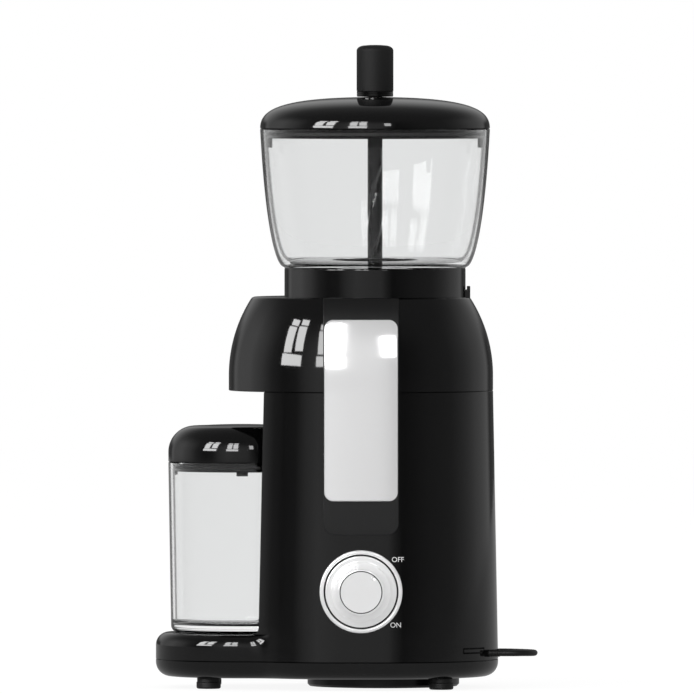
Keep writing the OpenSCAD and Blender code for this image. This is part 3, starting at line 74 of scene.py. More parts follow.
# Fixed places, taken from the solids
MILL = middle("chamber_seal")
MILL_AXIS = Vector((MILL.x, MILL.y, 0))
JAR = middle("jar")
JAR_AXIS = Vector((JAR.x, JAR.y, 0))
BODY = Vector((middle("upper_housing").x, MILL.y, 0))
DIAL = middle("dial_bezel")
Z_PAN = low("base_pan").z
Z_SEAM = high("base_pan").z
Z_TRAY = low("jar").z
Z_HEAD = low("upper_housing").z
Z_TOP = high("upper_housing").z
Z_COLLAR = high("hopper_collar").z
Z_RIM = high("hopper").z
Z_DOME = high("hopper_lid").z
Z_JAR_RIM = high("jar").z
Z_JAR_TOP = high("jar_lid").z
# How far the dial's bezel stands proud, a hair's gap between pieces that rest on each other, and the lids' edge
BEZEL_PROUD, HAIR, LID_EDGE = 0.0032, 0.00005, 0.0006
Y_FACE = low("dial_bezel").y + BEZEL_PROUD


def length(name, description, default):
    """A size in metres that a user can change."""
    return FloatProperty(name=name, description=description, default=default, min=0, unit="LENGTH",
                         subtype="DISTANCE")


def tint(name, description, default):
    """A colour that a user can change."""
    return FloatVectorProperty(name=name, description=description, default=default, min=0, max=1, subtype="COLOR")


def amount(name, description, default, least=0, subtype="UNSIGNED"):
    """A plain number that a user can change."""
    return FloatProperty(name=name, description=description, default=default, min=least, subtype=subtype)


def position(name, description, default):
    """A place along an axis in metres that a user can change."""
    return FloatProperty(name=name, description=description, default=default, unit="LENGTH", subtype="DISTANCE")


class ShellSizes(bpy.types.PropertyGroup):
    """Sizes of the base, the column and the head."""

    straight: length("Flat side", "Length of the flat sides between the round ends", 0.024)
    base_r: length("Base radius", "Radius of the round ends at the base seam", 0.0738)
    head_r: length("Head radius", "Radius of the round ends at the head's lower edge", 0.0706)
    pan_edge: length("Pan edge", "Radius of the pan's lower edge", 0.009)
    tray_r: length("Tray radius", "Radius of the jar tray", 0.0542)
    tray_edge: length("Tray edge", "Radius of the tray's upper edge", 0.008)
    hollow_r: length("Hollow blend", "Radius of the blend between the tray's side and the column", 0.020)
    niche_r: length("Niche radius", "Radius of the niche that the jar stands in", 0.0526)
    niche_corner: length("Niche corner", "Rounding of the niche's upright corners", 0.0004)
    niche_foot: length("Niche foot", "Rounding between the tray and the niche", 0.0045)
    shoulder_rise: length("Upright rise", "Height over which the head's side stays upright", 0.0096)
    shoulder_r: length("Shoulder radius", "Radius of the head's shoulder in section", 0.089)
    top_edge: length("Top edge", "Height of the rounded edge round the head's top", 0.0015)
    seam: length("Seam edge", "Softened edge along the seams", 0.00035)
    cup_hole: length("Mill hole", "Radius of the hole in the head's top", 0.0326)
    spout_hole: length("Spout hole", "Radius of the hole in the head's floor", 0.0088)


class PanelSizes(bpy.types.PropertyGroup):
    """Sizes of the trim strip, the silver panel and the dial."""

    trim_half: length("Trim half width", "Half width of the black trim strip", 0.0235)
    trim_corner: length("Trim corner", "Corner radius of the trim strip's lower end", 0.0075)
    trim_proud: length("Trim height", "How far the trim strip stands proud", 0.0006)
    panel_half: length("Panel half width", "Half width of the silver panel", 0.0229)
    panel_corner: length("Panel corner", "Corner radius of the silver panel", 0.0056)
    panel_t: length("Panel thickness", "Thickness of the silver panel at its edge", 0.0005)
    panel_crown: length("Panel crown", "Rise of the silver panel's middle over its edges", 0.0016)
    panel_soft: length("Panel edge", "Rounding of the silver panel's edge", 0.0008)
    bezel_r: length("Bezel radius", "Outer radius of the dial's bezel", 0.02575)
    bezel_w: length("Bezel width", "Width of the bezel's ring", 0.0025)
    flange_r: length("Flange radius", "Radius of the dial knob's flange", 0.0222)
    grip_r: length("Grip radius", "Radius of the dial knob's grip at its root", 0.018)
    face_r: length("Face radius", "Radius of the dial knob's face", 0.0144)
    print_h: length("Lettering", "Height of the lettering beside the dial", 0.0031)


class VesselSizes(bpy.types.PropertyGroup):
    """Sizes of the hopper, the jar, their lids and the stirrer."""

    collar_r: length("Collar radius", "Outer radius of the collar", 0.0566)
    neck_r: length("Neck radius", "Outer radius of the hopper's neck", 0.0289)
    hopper_r: length("Hopper radius", "Outer radius of the hopper's rim", 0.0718)
    hopper_wall: length("Hopper wall", "Wall thickness of the hopper", 0.0024)
    foot_r: length("Foot radius", "Outer radius of the hopper's foot", 0.0572)
    lid_wall: length("Lid wall", "Wall thickness of the lids", 0.0024)
    skirt: length("Skirt depth", "Depth of the lids' skirts", 0.0057)
    knob_r: length("Knob radius", "Radius of the stirrer's knob", 0.0115)
    rod_r: length("Rod radius", "Radius of the stirrer's rod", 0.0047)
    flat: length("Flat depth", "Depth of the two flats wound round the rod", 0.0005)
    jar_r: length("Jar radius", "Outer radius of the jar's rim", 0.0464)
    jar_foot_r: length("Jar foot", "Outer radius of the jar's foot", 0.0447)
    jar_wall: length("Jar wall", "Wall thickness of the jar", 0.0025)
    jar_floor: length("Jar floor", "Floor thickness of the jar", 0.0046)


class CordSizes(bpy.types.PropertyGroup):
    """Sizes of the mains lead and its coil."""

    diameter: length("Cord diameter", "Diameter of the mains lead", 0.0038)
    coil_r: length("Coil radius", "Radius of the coil's outer turn", 0.0275)
    coil_step: length("Coil step", "Distance from one turn to the next", 0.0044)
    half_turns: amount("Turns a layer", "Turns in each of the coil's two layers", 2.5)
    rings: IntProperty(name="Rings a turn", description="Points on each turn of the coil", default=24, min=12,
                       subtype="UNSIGNED")


class Colours(bpy.types.PropertyGroup):
    """Colours of the finishes."""

    black: tint("Gloss black", "Moulded housing", (0.0022, 0.0022, 0.0023))
    trim: tint("Trim black", "Satin trim strip", (0.0045, 0.0045, 0.0047))
    # The rod colour is lifted above black in part as painted reflection of the rod's highlights
    rod: tint("Rod black", "Stirrer rod", (0.012, 0.012, 0.0123))
    grip: tint("Grip black", "Matte knob", (0.015, 0.015, 0.0152))
    silver: tint("Silver", "Satin silver panel", (0.94, 0.94, 0.945))
    chrome: tint("Chrome", "Dial and bezel", (0.98, 0.98, 0.985))
    clear: tint("Clear", "Hopper and jar", (0.875, 0.88, 0.88))
    rubber: tint("Rubber", "Feet and mains lead", (0.004, 0.004, 0.0042))
    print_white: tint("Print", "Lettering beside the dial", (0.82, 0.82, 0.82))
    steel: tint("Steel", "Shafts and screws", (0.58, 0.58, 0.60))
    iron: tint("Burr iron", "Grinding burrs", (0.16, 0.16, 0.17))
    alloy: tint("Alloy", "Cup and decks", (0.62, 0.63, 0.65))
    copper: tint("Copper", "Motor windings", (0.72, 0.31, 0.13))
    brass: tint("Brass", "Pinion and plug pins", (0.74, 0.56, 0.25))
    nylon: tint("Nylon", "Gear, bush and chute", (0.74, 0.72, 0.64))
    seal: tint("Seal", "Gaskets", (0.012, 0.012, 0.012))
    switch: tint("Switch", "Switch body and brush holders", (0.10, 0.075, 0.06))
    floor: tint("Floor", "Studio floor", (0.86, 0.86, 0.86))


class StudioSettings(bpy.types.PropertyGroup):
    """The view and the light."""

    span: length("View width", "Width of the picture at the grinder", 0.43375)
    lift: amount("View tilt", "Height of the camera above the horizon", math.radians(1.1), subtype="ANGLE")
    lens: amount("Lens", "Focal length of the camera in millimetres", 1000, 50, "DISTANCE_CAMERA")
    view_x: position("View centre X", "Across", 0.0125)
    view_z: position("View centre Z", "Up", 0.2125)
    window: amount("Window light", "Brightness of the window panes", 14.5)
    fill: amount("Room light", "Brightness of the room on dull surfaces", 0.72)
    words: StringProperty(name="Lettering", description="Words beside the dial, upper and lower", default="OFF ON")


class GrinderSettings(bpy.types.PropertyGroup):
    """All settings of the grinder."""

    shell: PointerProperty(type=ShellSizes)
    panel: PointerProperty(type=PanelSizes)
    vessel: PointerProperty(type=VesselSizes)
    cord: PointerProperty(type=CordSizes)
    colours: PointerProperty(type=Colours)
    studio: PointerProperty(type=StudioSettings)


def settings():
    """The scene's grinder settings."""
    return bpy.context.scene.grinder


class Wire:
    """One socket of a node tree. Arithmetic on it adds Math nodes, and node() adds any other."""

    def __init__(self, tree, socket=None):
        self.tree, self.socket = tree, socket

    def node(self, kind, options=None, inputs=None, out=0):
        """Adds a node, sets its options, then fills its inputs with values or wires."""
        made = self.tree.nodes.new(kind)
        for key, value in (options or {}).items():
            if key == "stops":
                band = made.color_ramp.elements
                band[0].position, band[-1].position = value[0][0], value[-1][0]
                for place, shade in value[1:-1]:
                    band.new(place)
                for element, (place, shade) in zip(band, value):
                    element.color = (shade, shade, shade, 1)
            else:
                setattr(made, key, value)
        for key, value in (inputs or {}).items():
            if isinstance(value, Wire):
                self.tree.links.new(value.socket, made.inputs[key])
            elif isinstance(made.inputs[key].default_value, (int, float)):
                made.inputs[key].default_value = value
            else:
                size = len(made.inputs[key].default_value)
                made.inputs[key].default_value = (*value, 1)[:size]
        return Wire(self.tree, made.outputs[out]) if made.outputs else made

    def math(self, operation, first, second):
        """A Math node of two values or wires."""
        return self.node("ShaderNodeMath", {"operation": operation}, {0: first, 1: second})

    def __add__(self, other):
        return self.math("ADD", self, other)

    def __sub__(self, other):
        return self.math("SUBTRACT", self, other)

    def __rsub__(self, other):
        return self.math("SUBTRACT", other, self)

    def __mul__(self, other):
        return self.math("MULTIPLY", self, other)

    __radd__ = __add__
    __rmul__ = __mul__


def begin_finish(name):
    """A new material with an empty tree, and a wire to its Object coordinates."""
    material = bpy.data.materials.new(name)
    material.use_nodes = True
    material.node_tree.nodes.clear()
    tree = Wire(material.node_tree)
    return material, tree.node("ShaderNodeTexCoord", out=3)


def grain(place, scale, detail=3.0, stretch=(1, 1, 1)):
    """Noise from 0 to 1 on the piece's own coordinates, with this many grains to the metre."""
    turned = place.node("ShaderNodeMapping", None, {"Vector": place, "Scale": stretch})
    noise = {"Vector": turned, "Scale": scale, "Detail": detail, "Roughness": 0.55}
    return place.node("ShaderNodeTexNoise", None, noise)


def blended(place, mask, off, on):
    """The first colour where the mask is 0, and the second where it is 1."""
    return place.node("ShaderNodeMix", {"data_type": "RGBA"}, {0: mask, 6: off, 7: on}, out=2)


def eased(tree, value, start, end, first=0, last=1):
    """A smooth step from the first level to the last as the value goes from start to end."""
    levels = {0: value, 1: start, 2: end, 3: first, 4: last}
    return tree.node("ShaderNodeMapRange", {"interpolation_type": "SMOOTHSTEP"}, levels)


def shaded(place, colour, spread, mask):
    """The colour, darker and lighter by the spread as the mask goes from 0 to 1."""
    dark = [channel * (1 - spread) for channel in colour]
    light = [min(1, channel * (1 + spread)) for channel in colour]
    return blended(place, mask, (*dark, 1), (*light, 1))


def end_finish(material, place, inputs, bump=None):
    """Closes a material with its shader, and a bump of (height, strength, distance)."""
    if bump:
        inputs["Normal"] = place.node("ShaderNodeBump", None, dict(zip(("Height", "Strength", "Distance"), bump)))
    shader = place.node("ShaderNodeBsdfPrincipled", None, inputs)
    place.node("ShaderNodeOutputMaterial", None, {"Surface": shader})
    return material


def gloss_black():
    """Polished moulded plastic with faint mould waviness and handling haze."""
    material, place = begin_finish("gloss_black")
    haze = grain(place, 22, 4)
    ripple = grain(place, 160, 2)
    return end_finish(material, place, {
        "Base Color": shaded(place, settings().colours.black, 0.25, haze),
        "Roughness": haze * 0.05 + 0.03, "IOR": 1.5}, (ripple, 0.02, 0.0002))


def satin_black():
    """Fine-textured trim plastic."""
    material, place = begin_finish("satin_black")
    speck, haze = grain(place, 2600, 2), grain(place, 18, 3)
    return end_finish(material, place, {
        "Base Color": shaded(place, settings().colours.trim, 0.2, speck),
        "Roughness": haze * 0.08 + 0.24, "IOR": 1.40}, (speck, 0.06, 0.0001))


def rod_black():
    """Smooth moulded rod, lighter than the housing, partly its own dark tone and partly painted reflection that
    stands in for its highlights.
    """
    material, place = begin_finish("rod_black")
    haze = grain(place, 60, 4)
    return end_finish(material, place, {
        # Painted reflection in part: the rod colour sits above black to stand in for the average of its highlights
        "Base Color": shaded(place, settings().colours.rod, 0.2, haze),
        "Roughness": haze * 0.08 + 0.12, "IOR": 1.6})


def matte_black():
    """Soft-touch moulding with a fine sparked grain."""
    material, place = begin_finish("matte_black")
    speck, haze = grain(place, 1800, 3), grain(place, 30, 3)
    return end_finish(material, place, {
        "Base Color": shaded(place, settings().colours.grip, 0.25, speck),
        "Roughness": haze * 0.12 + 0.48, "IOR": 1.46, "Specular IOR Level": 0.12}, (speck, 0.2, 0.00012))


def satin_silver():
    """Silver lacquer with fine flake."""
    material, place = begin_finish("satin_silver")
    flake, haze = grain(place, 5200, 1), grain(place, 26, 3)
    return end_finish(material, place, {
        "Base Color": shaded(place, settings().colours.silver, 0.05, flake), "Metallic": 0.45,
        "Roughness": haze * 0.03 + 0.075, "IOR": 1.42}, (flake, 0.03, 0.00005))


def bright_chrome():
    """Plated plastic with slight handling marks."""
    material, place = begin_finish("bright_chrome")
    smear, wave = grain(place, 90, 4), grain(place, 320, 2)
    return end_finish(material, place, {
        "Base Color": shaded(place, settings().colours.chrome, 0.02, smear), "Metallic": 0.30,
        "Roughness": smear * 0.06 + 0.16, "IOR": 1.5}, (wave, 0.02, 0.0001))


def clear_plastic():
    """Clear moulded plastic with faint flow haze, and painted shade that darkens its colour where the wall is seen
    edge on.
    """
    material, place = begin_finish("clear_plastic")
    flow = grain(place, 14, 3, (1, 1, 0.3))
    facing = place.node("ShaderNodeLayerWeight", None, {"Blend": 0.5}, out="Facing")
    # Painted shade: the colour turns near black where the wall is seen edge on, standing in for the dark edges of
    # clear walls
    edge = eased(place, facing, 0.70, 0.78)
    body = shaded(place, settings().colours.clear, 0.008, flow)
    return end_finish(material, place, {
        "Base Color": blended(place, edge, body, (0.01, 0.01, 0.01, 1)),
        "Roughness": flow * 0.012 + 0.002, "IOR": 1.42, "Transmission Weight": 1.0,
        "Specular Tint": (0.4, 0.4, 0.4)})


def rubbery():
    """Dull flexible rubber or vinyl."""
    material, place = begin_finish("rubbery")
    speck, haze = grain(place, 1500, 3), grain(place, 60, 2)
    return end_finish(material, place, {
        "Base Color": shaded(place, settings().colours.rubber, 0.25, speck),
        "Roughness": haze * 0.14 + 0.42, "IOR": 1.40}, (speck, 0.15, 0.0001))


def printed():
    """Pad-printed ink."""
    material, place = begin_finish("printed")
    speck = grain(place, 3000, 2)
    return end_finish(material, place, {
        "Base Color": shaded(place, settings().colours.print_white, 0.04, speck),
        "Roughness": speck * 0.1 + 0.45})


def metal(name, colour, rough, scale, stretch, spread):
    """A bare metal with tool marks or casting grain."""
    material, place = begin_finish(name)
    marks, haze = grain(place, scale, 3, stretch), grain(place, 45, 3)
    return end_finish(material, place, {
        "Base Color": shaded(place, getattr(settings().colours, colour), spread, marks), "Metallic": 1.0,
        "Roughness": haze * 0.15 + rough}, (marks, 0.1, 0.00008))


def plain_plastic(name, colour, rough):
    """An inner moulding or gasket with a fine grain."""
    material, place = begin_finish(name)
    speck = grain(place, 1400, 3)
    return end_finish(material, place, {
        "Base Color": shaded(place, getattr(settings().colours, colour), 0.12, speck),
        "Roughness": speck * 0.15 + rough}, (speck, 0.1, 0.0001))


OUTER = {"gloss_black": gloss_black, "satin_black": satin_black, "matte_black": matte_black,
         "rod_black": rod_black, "satin_silver": satin_silver, "bright_chrome": bright_chrome,
         "clear_plastic": clear_plastic, "rubbery": rubbery, "printed": printed}
# Metals: colour, roughness, marks to the metre, how the marks are squeezed along each axis, spread of the colour
METALS = {"turned_steel": ("steel", 0.24, 700, (1, 1, 6), 0.1), "burr_iron": ("iron", 0.5, 900, (1, 1, 1), 0.25),
          "cast_alloy": ("alloy", 0.36, 1200, (1, 1, 1), 0.1), "cut_brass": ("brass", 0.22, 800, (5, 1, 1), 0.1),
          "wound_copper": ("copper", 0.3, 1500, (1, 1, 5), 0.2)}
# Inner mouldings and gaskets: colour and roughness
MOULDINGS = {"white_nylon": ("nylon", 0.36), "black_seal": ("seal", 0.5), "brown_resin": ("switch", 0.42)}


def finish(name):
    """The material of this name, made when it is first asked for."""
    if name in bpy.data.materials:
        return bpy.data.materials[name]
    if name in METALS:
        return metal(name, *METALS[name])
    if name in MOULDINGS:
        return plain_plastic(name, *MOULDINGS[name])
    return OUTER[name]()


def begin():
    """Leaves edit mode and deselects everything, so that an operator acts on the new piece alone."""
    if bpy.context.mode != "OBJECT":
        bpy.ops.object.mode_set(mode="OBJECT")
    bpy.ops.object.select_all(action="DESELECT")


def pick(piece):
    """Makes the piece the only one selected, and the active one."""
    begin()
    piece.select_set(True)
    bpy.context.view_layer.objects.active = piece


def named(name):
    """Names the piece that was just added."""
    piece = bpy.context.object
    piece.name = piece.data.name = name
    return piece


def close_up(piece):
    """Merges a shaped mesh's seams and poles and turns its faces outwards."""
    bpy.ops.mesh.select_all(action="SELECT")
    bpy.ops.mesh.remove_doubles(threshold=2e-7)
    bpy.ops.mesh.normals_make_consistent(inside=False)
    bpy.ops.object.mode_set(mode="OBJECT")
    return piece


def chain(name, points):
    """Starts a piece as one vertex and extrudes it from point to point."""
    begin()
    bpy.ops.mesh.primitive_plane_add(size=0.001)
    piece = named(name)
    bpy.ops.object.mode_set(mode="EDIT")
    bpy.ops.mesh.select_mode(type="VERT")
    bpy.ops.mesh.select_all(action="SELECT")
    bpy.ops.mesh.merge(type="CENTER")
    bpy.ops.transform.translate(value=points[0])
    for here, there in zip(points, points[1:]):
        bpy.ops.mesh.extrude_region_move(TRANSFORM_OT_translate={"value": there - here})
    bpy.ops.mesh.select_all(action="SELECT")
    return piece


def lathe(name, profile, centre, along=UP, steps=128):
    """Turns a profile of (radius, distance along) about an axis through the centre."""
    across = Vector((1, 0, 0)) if abs(along.x) < 0.5 else Vector((0, 0, 1))
    piece = chain(name, [centre + across * r + along * d for r, d in profile])
    bpy.ops.mesh.spin(steps=steps, angle=math.tau, center=centre, axis=along)
    return close_up(piece)


def lay(mesh, order, ring):
    """Puts the vertices on the ring's points."""
    for index, point in zip(order, ring):
        mesh.verts[index].co = point


def loft(name, rings, closed=False):
    """Fills a circle laid on the first ring and extrudes its face from ring to ring."""
    begin()
    bpy.ops.mesh.primitive_circle_add(vertices=len(rings[0]), radius=0.01, fill_type="NGON")
    piece = named(name)
    bpy.ops.object.mode_set(mode="EDIT")
    bpy.ops.mesh.select_mode(type="FACE")
    bpy.ops.mesh.select_all(action="SELECT")
    mesh = bmesh.from_edit_mesh(piece.data)
    mesh.verts.ensure_lookup_table()
    order = list(range(len(rings[0])))
    lay(mesh, order, rings[0])
    for ring in rings[1:]:
        bpy.ops.mesh.extrude_region_move()
        mesh = bmesh.from_edit_mesh(piece.data)
        mesh.verts.ensure_lookup_table()
        mesh.verts.index_update()
        order = [next(edge.other_vert(mesh.verts[i]).index for edge in mesh.verts[i].link_edges
                      if edge.other_vert(mesh.verts[i]).select) for i in order]
        lay(mesh, order, ring)
    bmesh.update_edit_mesh(piece.data)
    if closed:
        first = [face for face in mesh.faces if all(v.index < len(rings[0]) for v in face.verts)]
        for face in first:
            face.select_set(True)
        bpy.ops.mesh.bridge_edge_loops()
    return close_up(piece)


def arc(centre, radius, start, end, steps):
    """Points of an arc in plan, both ends included."""
    angles = [start + (end - start) * i / steps for i in range(steps + 1)]
    return [Vector((centre.x + radius * math.cos(a), centre.y + radius * math.sin(a))) for a in angles]


def bezier(a, b, c, d, steps=28):
    """Points of a cubic curve in a profile."""
    points = []
    for i in range(steps + 1):
        t = i / steps
        u = 1 - t
        shares = (u**3, 3 * u * u * t, 3 * u * t * t, t**3)
        points.append(tuple(sum(w * p for w, p in zip(shares, along)) for along in zip(a, b, c, d)))
    return points


def quarter(steps):
    """Sines and cosines of the angles of a quarter turn, both ends included."""
    angles = [math.pi / 2 * i / steps for i in range(steps + 1)]
    return [(math.sin(a), math.cos(a)) for a in angles]


def corner(centre, radius, start, end, steps=6):
    """Points of a rounded corner in a profile, angles in degrees."""
    angles = [math.radians(start + (end - start) * i / steps) for i in range(steps + 1)]
    return [(centre[0] + radius * math.cos(a), centre[1] + radius * math.sin(a)) for a in angles]


def cut(piece, tool):
    """Cuts the tool's shape out of the piece."""
    pick(piece)
    modifier = piece.modifiers.new("cut", "BOOLEAN")
    modifier.operation, modifier.solver, modifier.object = "DIFFERENCE", "EXACT", tool
    bpy.ops.object.modifier_apply(modifier=modifier.name)
    bpy.data.objects.remove(tool)


def bore(piece, spot, r, bottom, top, steps):
    """Cuts an upright round hole in the piece."""
    cut(piece, lathe("bore", [(0, bottom), (r, bottom), (r, top), (0, top)], spot, steps=steps))


def merge(piece, *others):
    """Joins the other meshes into the piece."""
    pick(piece)
    for other in others:
        other.select_set(True)
    bpy.ops.object.join()
    return piece


def soften(piece, width, segments=3, angle=40):
    """Rounds the piece's sharp edges."""
    pick(piece)
    modifier = piece.modifiers.new("soften", "BEVEL")
    modifier.width, modifier.segments, modifier.limit_method = width, segments, "ANGLE"
    modifier.angle_limit = math.radians(angle)
    bpy.ops.object.modifier_apply(modifier=modifier.name)
    return piece


def dress(piece, body, nodes, material, angle=32):
    """Shades the piece, gives it its finish and sets it on its body in place of its nodes."""
    pick(piece)
    bpy.ops.object.shade_smooth_by_angle(angle=math.radians(angle))
    even = piece.modifiers.new("even", "WEIGHTED_NORMAL")
    even.keep_sharp = True
    bpy.ops.object.modifier_apply(modifier=even.name)
    piece.data.materials.clear()
    piece.data.materials.append(finish(material))
    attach(piece, body)
    if nodes:
        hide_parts(*nodes)
    return piece


def second_finish(piece, material, chosen):
    """Gives another finish to the faces whose middle is chosen."""
    piece.data.materials.append(finish(material))
    for face in piece.data.polygons:
        face.material_index = int(chosen(face.center))


def paint(nodes, material):
    """Gives the frame's own nodes a finish."""
    for node in nodes:
        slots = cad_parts[node].data.materials
        slots.clear()
        slots.append(finish(material))


def side_r(z):
    """Radius of the column's round ends at a height."""
    s = settings().shell
    return s.base_r + (s.head_r - s.base_r) * (z - Z_SEAM) / (Z_HEAD - Z_SEAM)


def shoulder_r(z):
    """Radius of the head's round ends at a height."""
    s = settings().shell
    rise = max(0.0, z - Z_HEAD - s.shoulder_rise)
    return s.head_r - s.shoulder_r + math.sqrt(s.shoulder_r**2 - rise**2)


def skin_r(z):
    """Radius of the body's side at any height."""
    return side_r(z) if z < Z_HEAD else shoulder_r(z)


def front_end():
    """Middle of the body's round front end in plan."""
    return BODY - Vector((settings().shell.straight / 2, 0, 0))


def rear_end():
    """Middle of the body's round rear end in plan."""
    return BODY + Vector((settings().shell.straight / 2, 0, 0))


def meet(a, a_r, b, b_r):
    """The upper of the two points this far from two centres in plan."""
    gap = (b - a).xy.length
    along = (a_r**2 - b_r**2 + gap**2) / (2 * gap)
    side = math.sqrt(a_r**2 - along**2)
    way = (b - a).xy / gap
    across = Vector((-way.y, way.x))
    points = [a.xy + way * along + across * side, a.xy + way * along - across * side]
    return max(points, key=lambda p: p.y)


def bearing(a, b):
    """Direction from one point to another in plan."""
    return math.atan2(b.y - a.y, b.x - a.x)


def flip(points):
    """The points mirrored across the machine's middle, in the opposite order."""
    return [Vector((p.x, 2 * BODY.y - p.y)) for p in reversed(points)]


# Points along the parts of the base's and the column's outlines
BLEND_STEPS, FRONT_STEPS, BACK_STEPS, TRAY_STEPS, EDGE_STEPS, CORNER_STEPS = 15, 12, 72, 60, 6, 9


def column_line(radius, join):
    """The column's outline from the hollow blend on one side, round the rear, to the other."""
    front, rear, right = front_end(), rear_end(), math.pi / 2
    return (arc(front, radius, -join, -right, FRONT_STEPS) + arc(rear, radius, -right, right, BACK_STEPS)
            + arc(front, radius, right, join, FRONT_STEPS))


def base_outline(column, inset, everywhere):
    """The outline below the tray's top. The inset fades out at the column unless it goes everywhere."""
    s = settings().shell
    front = front_end()
    heart = meet(front, column + s.hollow_r, JAR, s.tray_r + s.hollow_r)
    join, touch = bearing(front, heart), bearing(JAR, heart)
    start, end = bearing(heart, front), bearing(heart, JAR)
    start, end = (start + math.tau) % math.tau, (end + math.tau) % math.tau
    blend = []
    for i in range(1, BLEND_STEPS):
        t = i / BLEND_STEPS
        fade = 1 if everywhere else t * t * (3 - 2 * t)
        a, r = start + (end - start) * t, s.hollow_r + inset * fade
        blend.append(heart + Vector((r * math.cos(a), r * math.sin(a))))
    tray = arc(JAR, s.tray_r - inset, touch, math.tau - touch, TRAY_STEPS)
    return column_line(column - (inset if everywhere else 0), join) + blend + tray + flip(blend)


def column_outline(column, bite):
    """The outline above the tray: the niche cuts in, its corners are rounded, and the bite fills its foot."""
    s = settings().shell
    front, niche, round_r = front_end(), s.niche_r - bite, s.niche_corner
    heart = meet(front, column + s.hollow_r, JAR, s.tray_r + s.hollow_r)
    join = bearing(front, heart)
    core = meet(front, column - round_r, JAR, niche + round_r)
    turn, deep = bearing(front, core), bearing(JAR, core)
    edge = arc(front, column, join, turn, EDGE_STEPS)[1:]
    away = bearing(core, JAR)
    away += math.tau if away < turn else 0
    edge += arc(core, round_r, turn, away, CORNER_STEPS)[1:-1]
    bay = arc(JAR, niche, deep, -deep, TRAY_STEPS)
    return column_line(column, join) + edge + bay + flip(edge)


def at_height(outline, z):
    """The outline's points at a height."""
    return [Vector((p.x, p.y, z)) for p in outline]


def ring_block(name, profile, centre, start, end, steps=10):
    """A block bent round an axis: a profile of (radius, height) carried from one bearing to another."""
    rings = []
    for i in range(steps + 1):
        a = start + (end - start) * i / steps
        rings.append([Vector((centre.x + r * math.cos(a), centre.y + r * math.sin(a), z)) for r, z in profile])
    return loft(name, rings)


# Brightness of the room round the horizon, by bearing in degrees from the camera towards the right
ROOM = ((-180, 0.45), (-150, 0.5), (-131, 0.42), (-109, 0.75), (-91, 0.58), (-76, 0.23), (-62, 0.10), (-48, 0.14),
        (-37, 0.42), (-24, 0.62), (0, 0.50), (8, 0.47), (14, 0.25), (22, 0.06), (35, 0.10), (50, 0.155), (77, 0.2),
        (93, 0.32), (113, 0.48), (138, 0.45), (180, 0.45))
CEILING = 0.16
# Rows of a window's panes from the top: elevation and height in degrees
ROWS = ((38.6, 4.4), (26.0, 18.8), (10.7, 8.2))
MULLION = 3
# Windows: bearing, offset and width of the columns and tilt, in degrees, and share of the light
WINDOWS = (("a", -53.5, 6.4, 9.6, 9, 1.0), ("c", -17, 4.9, 7.8, 4, 0.85))
# A slim window: bearing, elevation, width and height in degrees, and share of the light
SLIM = (13.2, 23, 6, 16, 0.6)
# Lamps for dull surfaces: bearing, elevation, width and height in degrees, and brightness
SOFT = (("key", -50, 40, 50, 40, 1.6), ("fill", 55, 30, 50, 40, 0.5))
# The window light's two parts: lamps that show in gloss alone, and lamps that show in gloss and in clear walls
PARTS = (("gloss", 0.3), ("clear", 0.7))
# The point that the lamps face, their distance from it, and how much further the lamps for clear walls stand
LAMP_AIM, LAMP_REACH, CLEAR_STEP = Vector((MILL.x - 0.02, MILL.y, 0.22)), 3.0, 0.1


def rays(tree):
    """Wires that are 1 for camera rays, for rays through clear walls and for mirrored rays."""
    kinds = ("Is Camera Ray", "Is Transmission Ray", "Is Glossy Ray")
    return [tree.node("ShaderNodeLightPath", out=kind) for kind in kinds]


def either(tree, mask, off, on):
    """The first shader where the mask is 0, and the second where it is 1."""
    return tree.node("ShaderNodeMixShader", None, {0: mask, 1: off, 2: on})


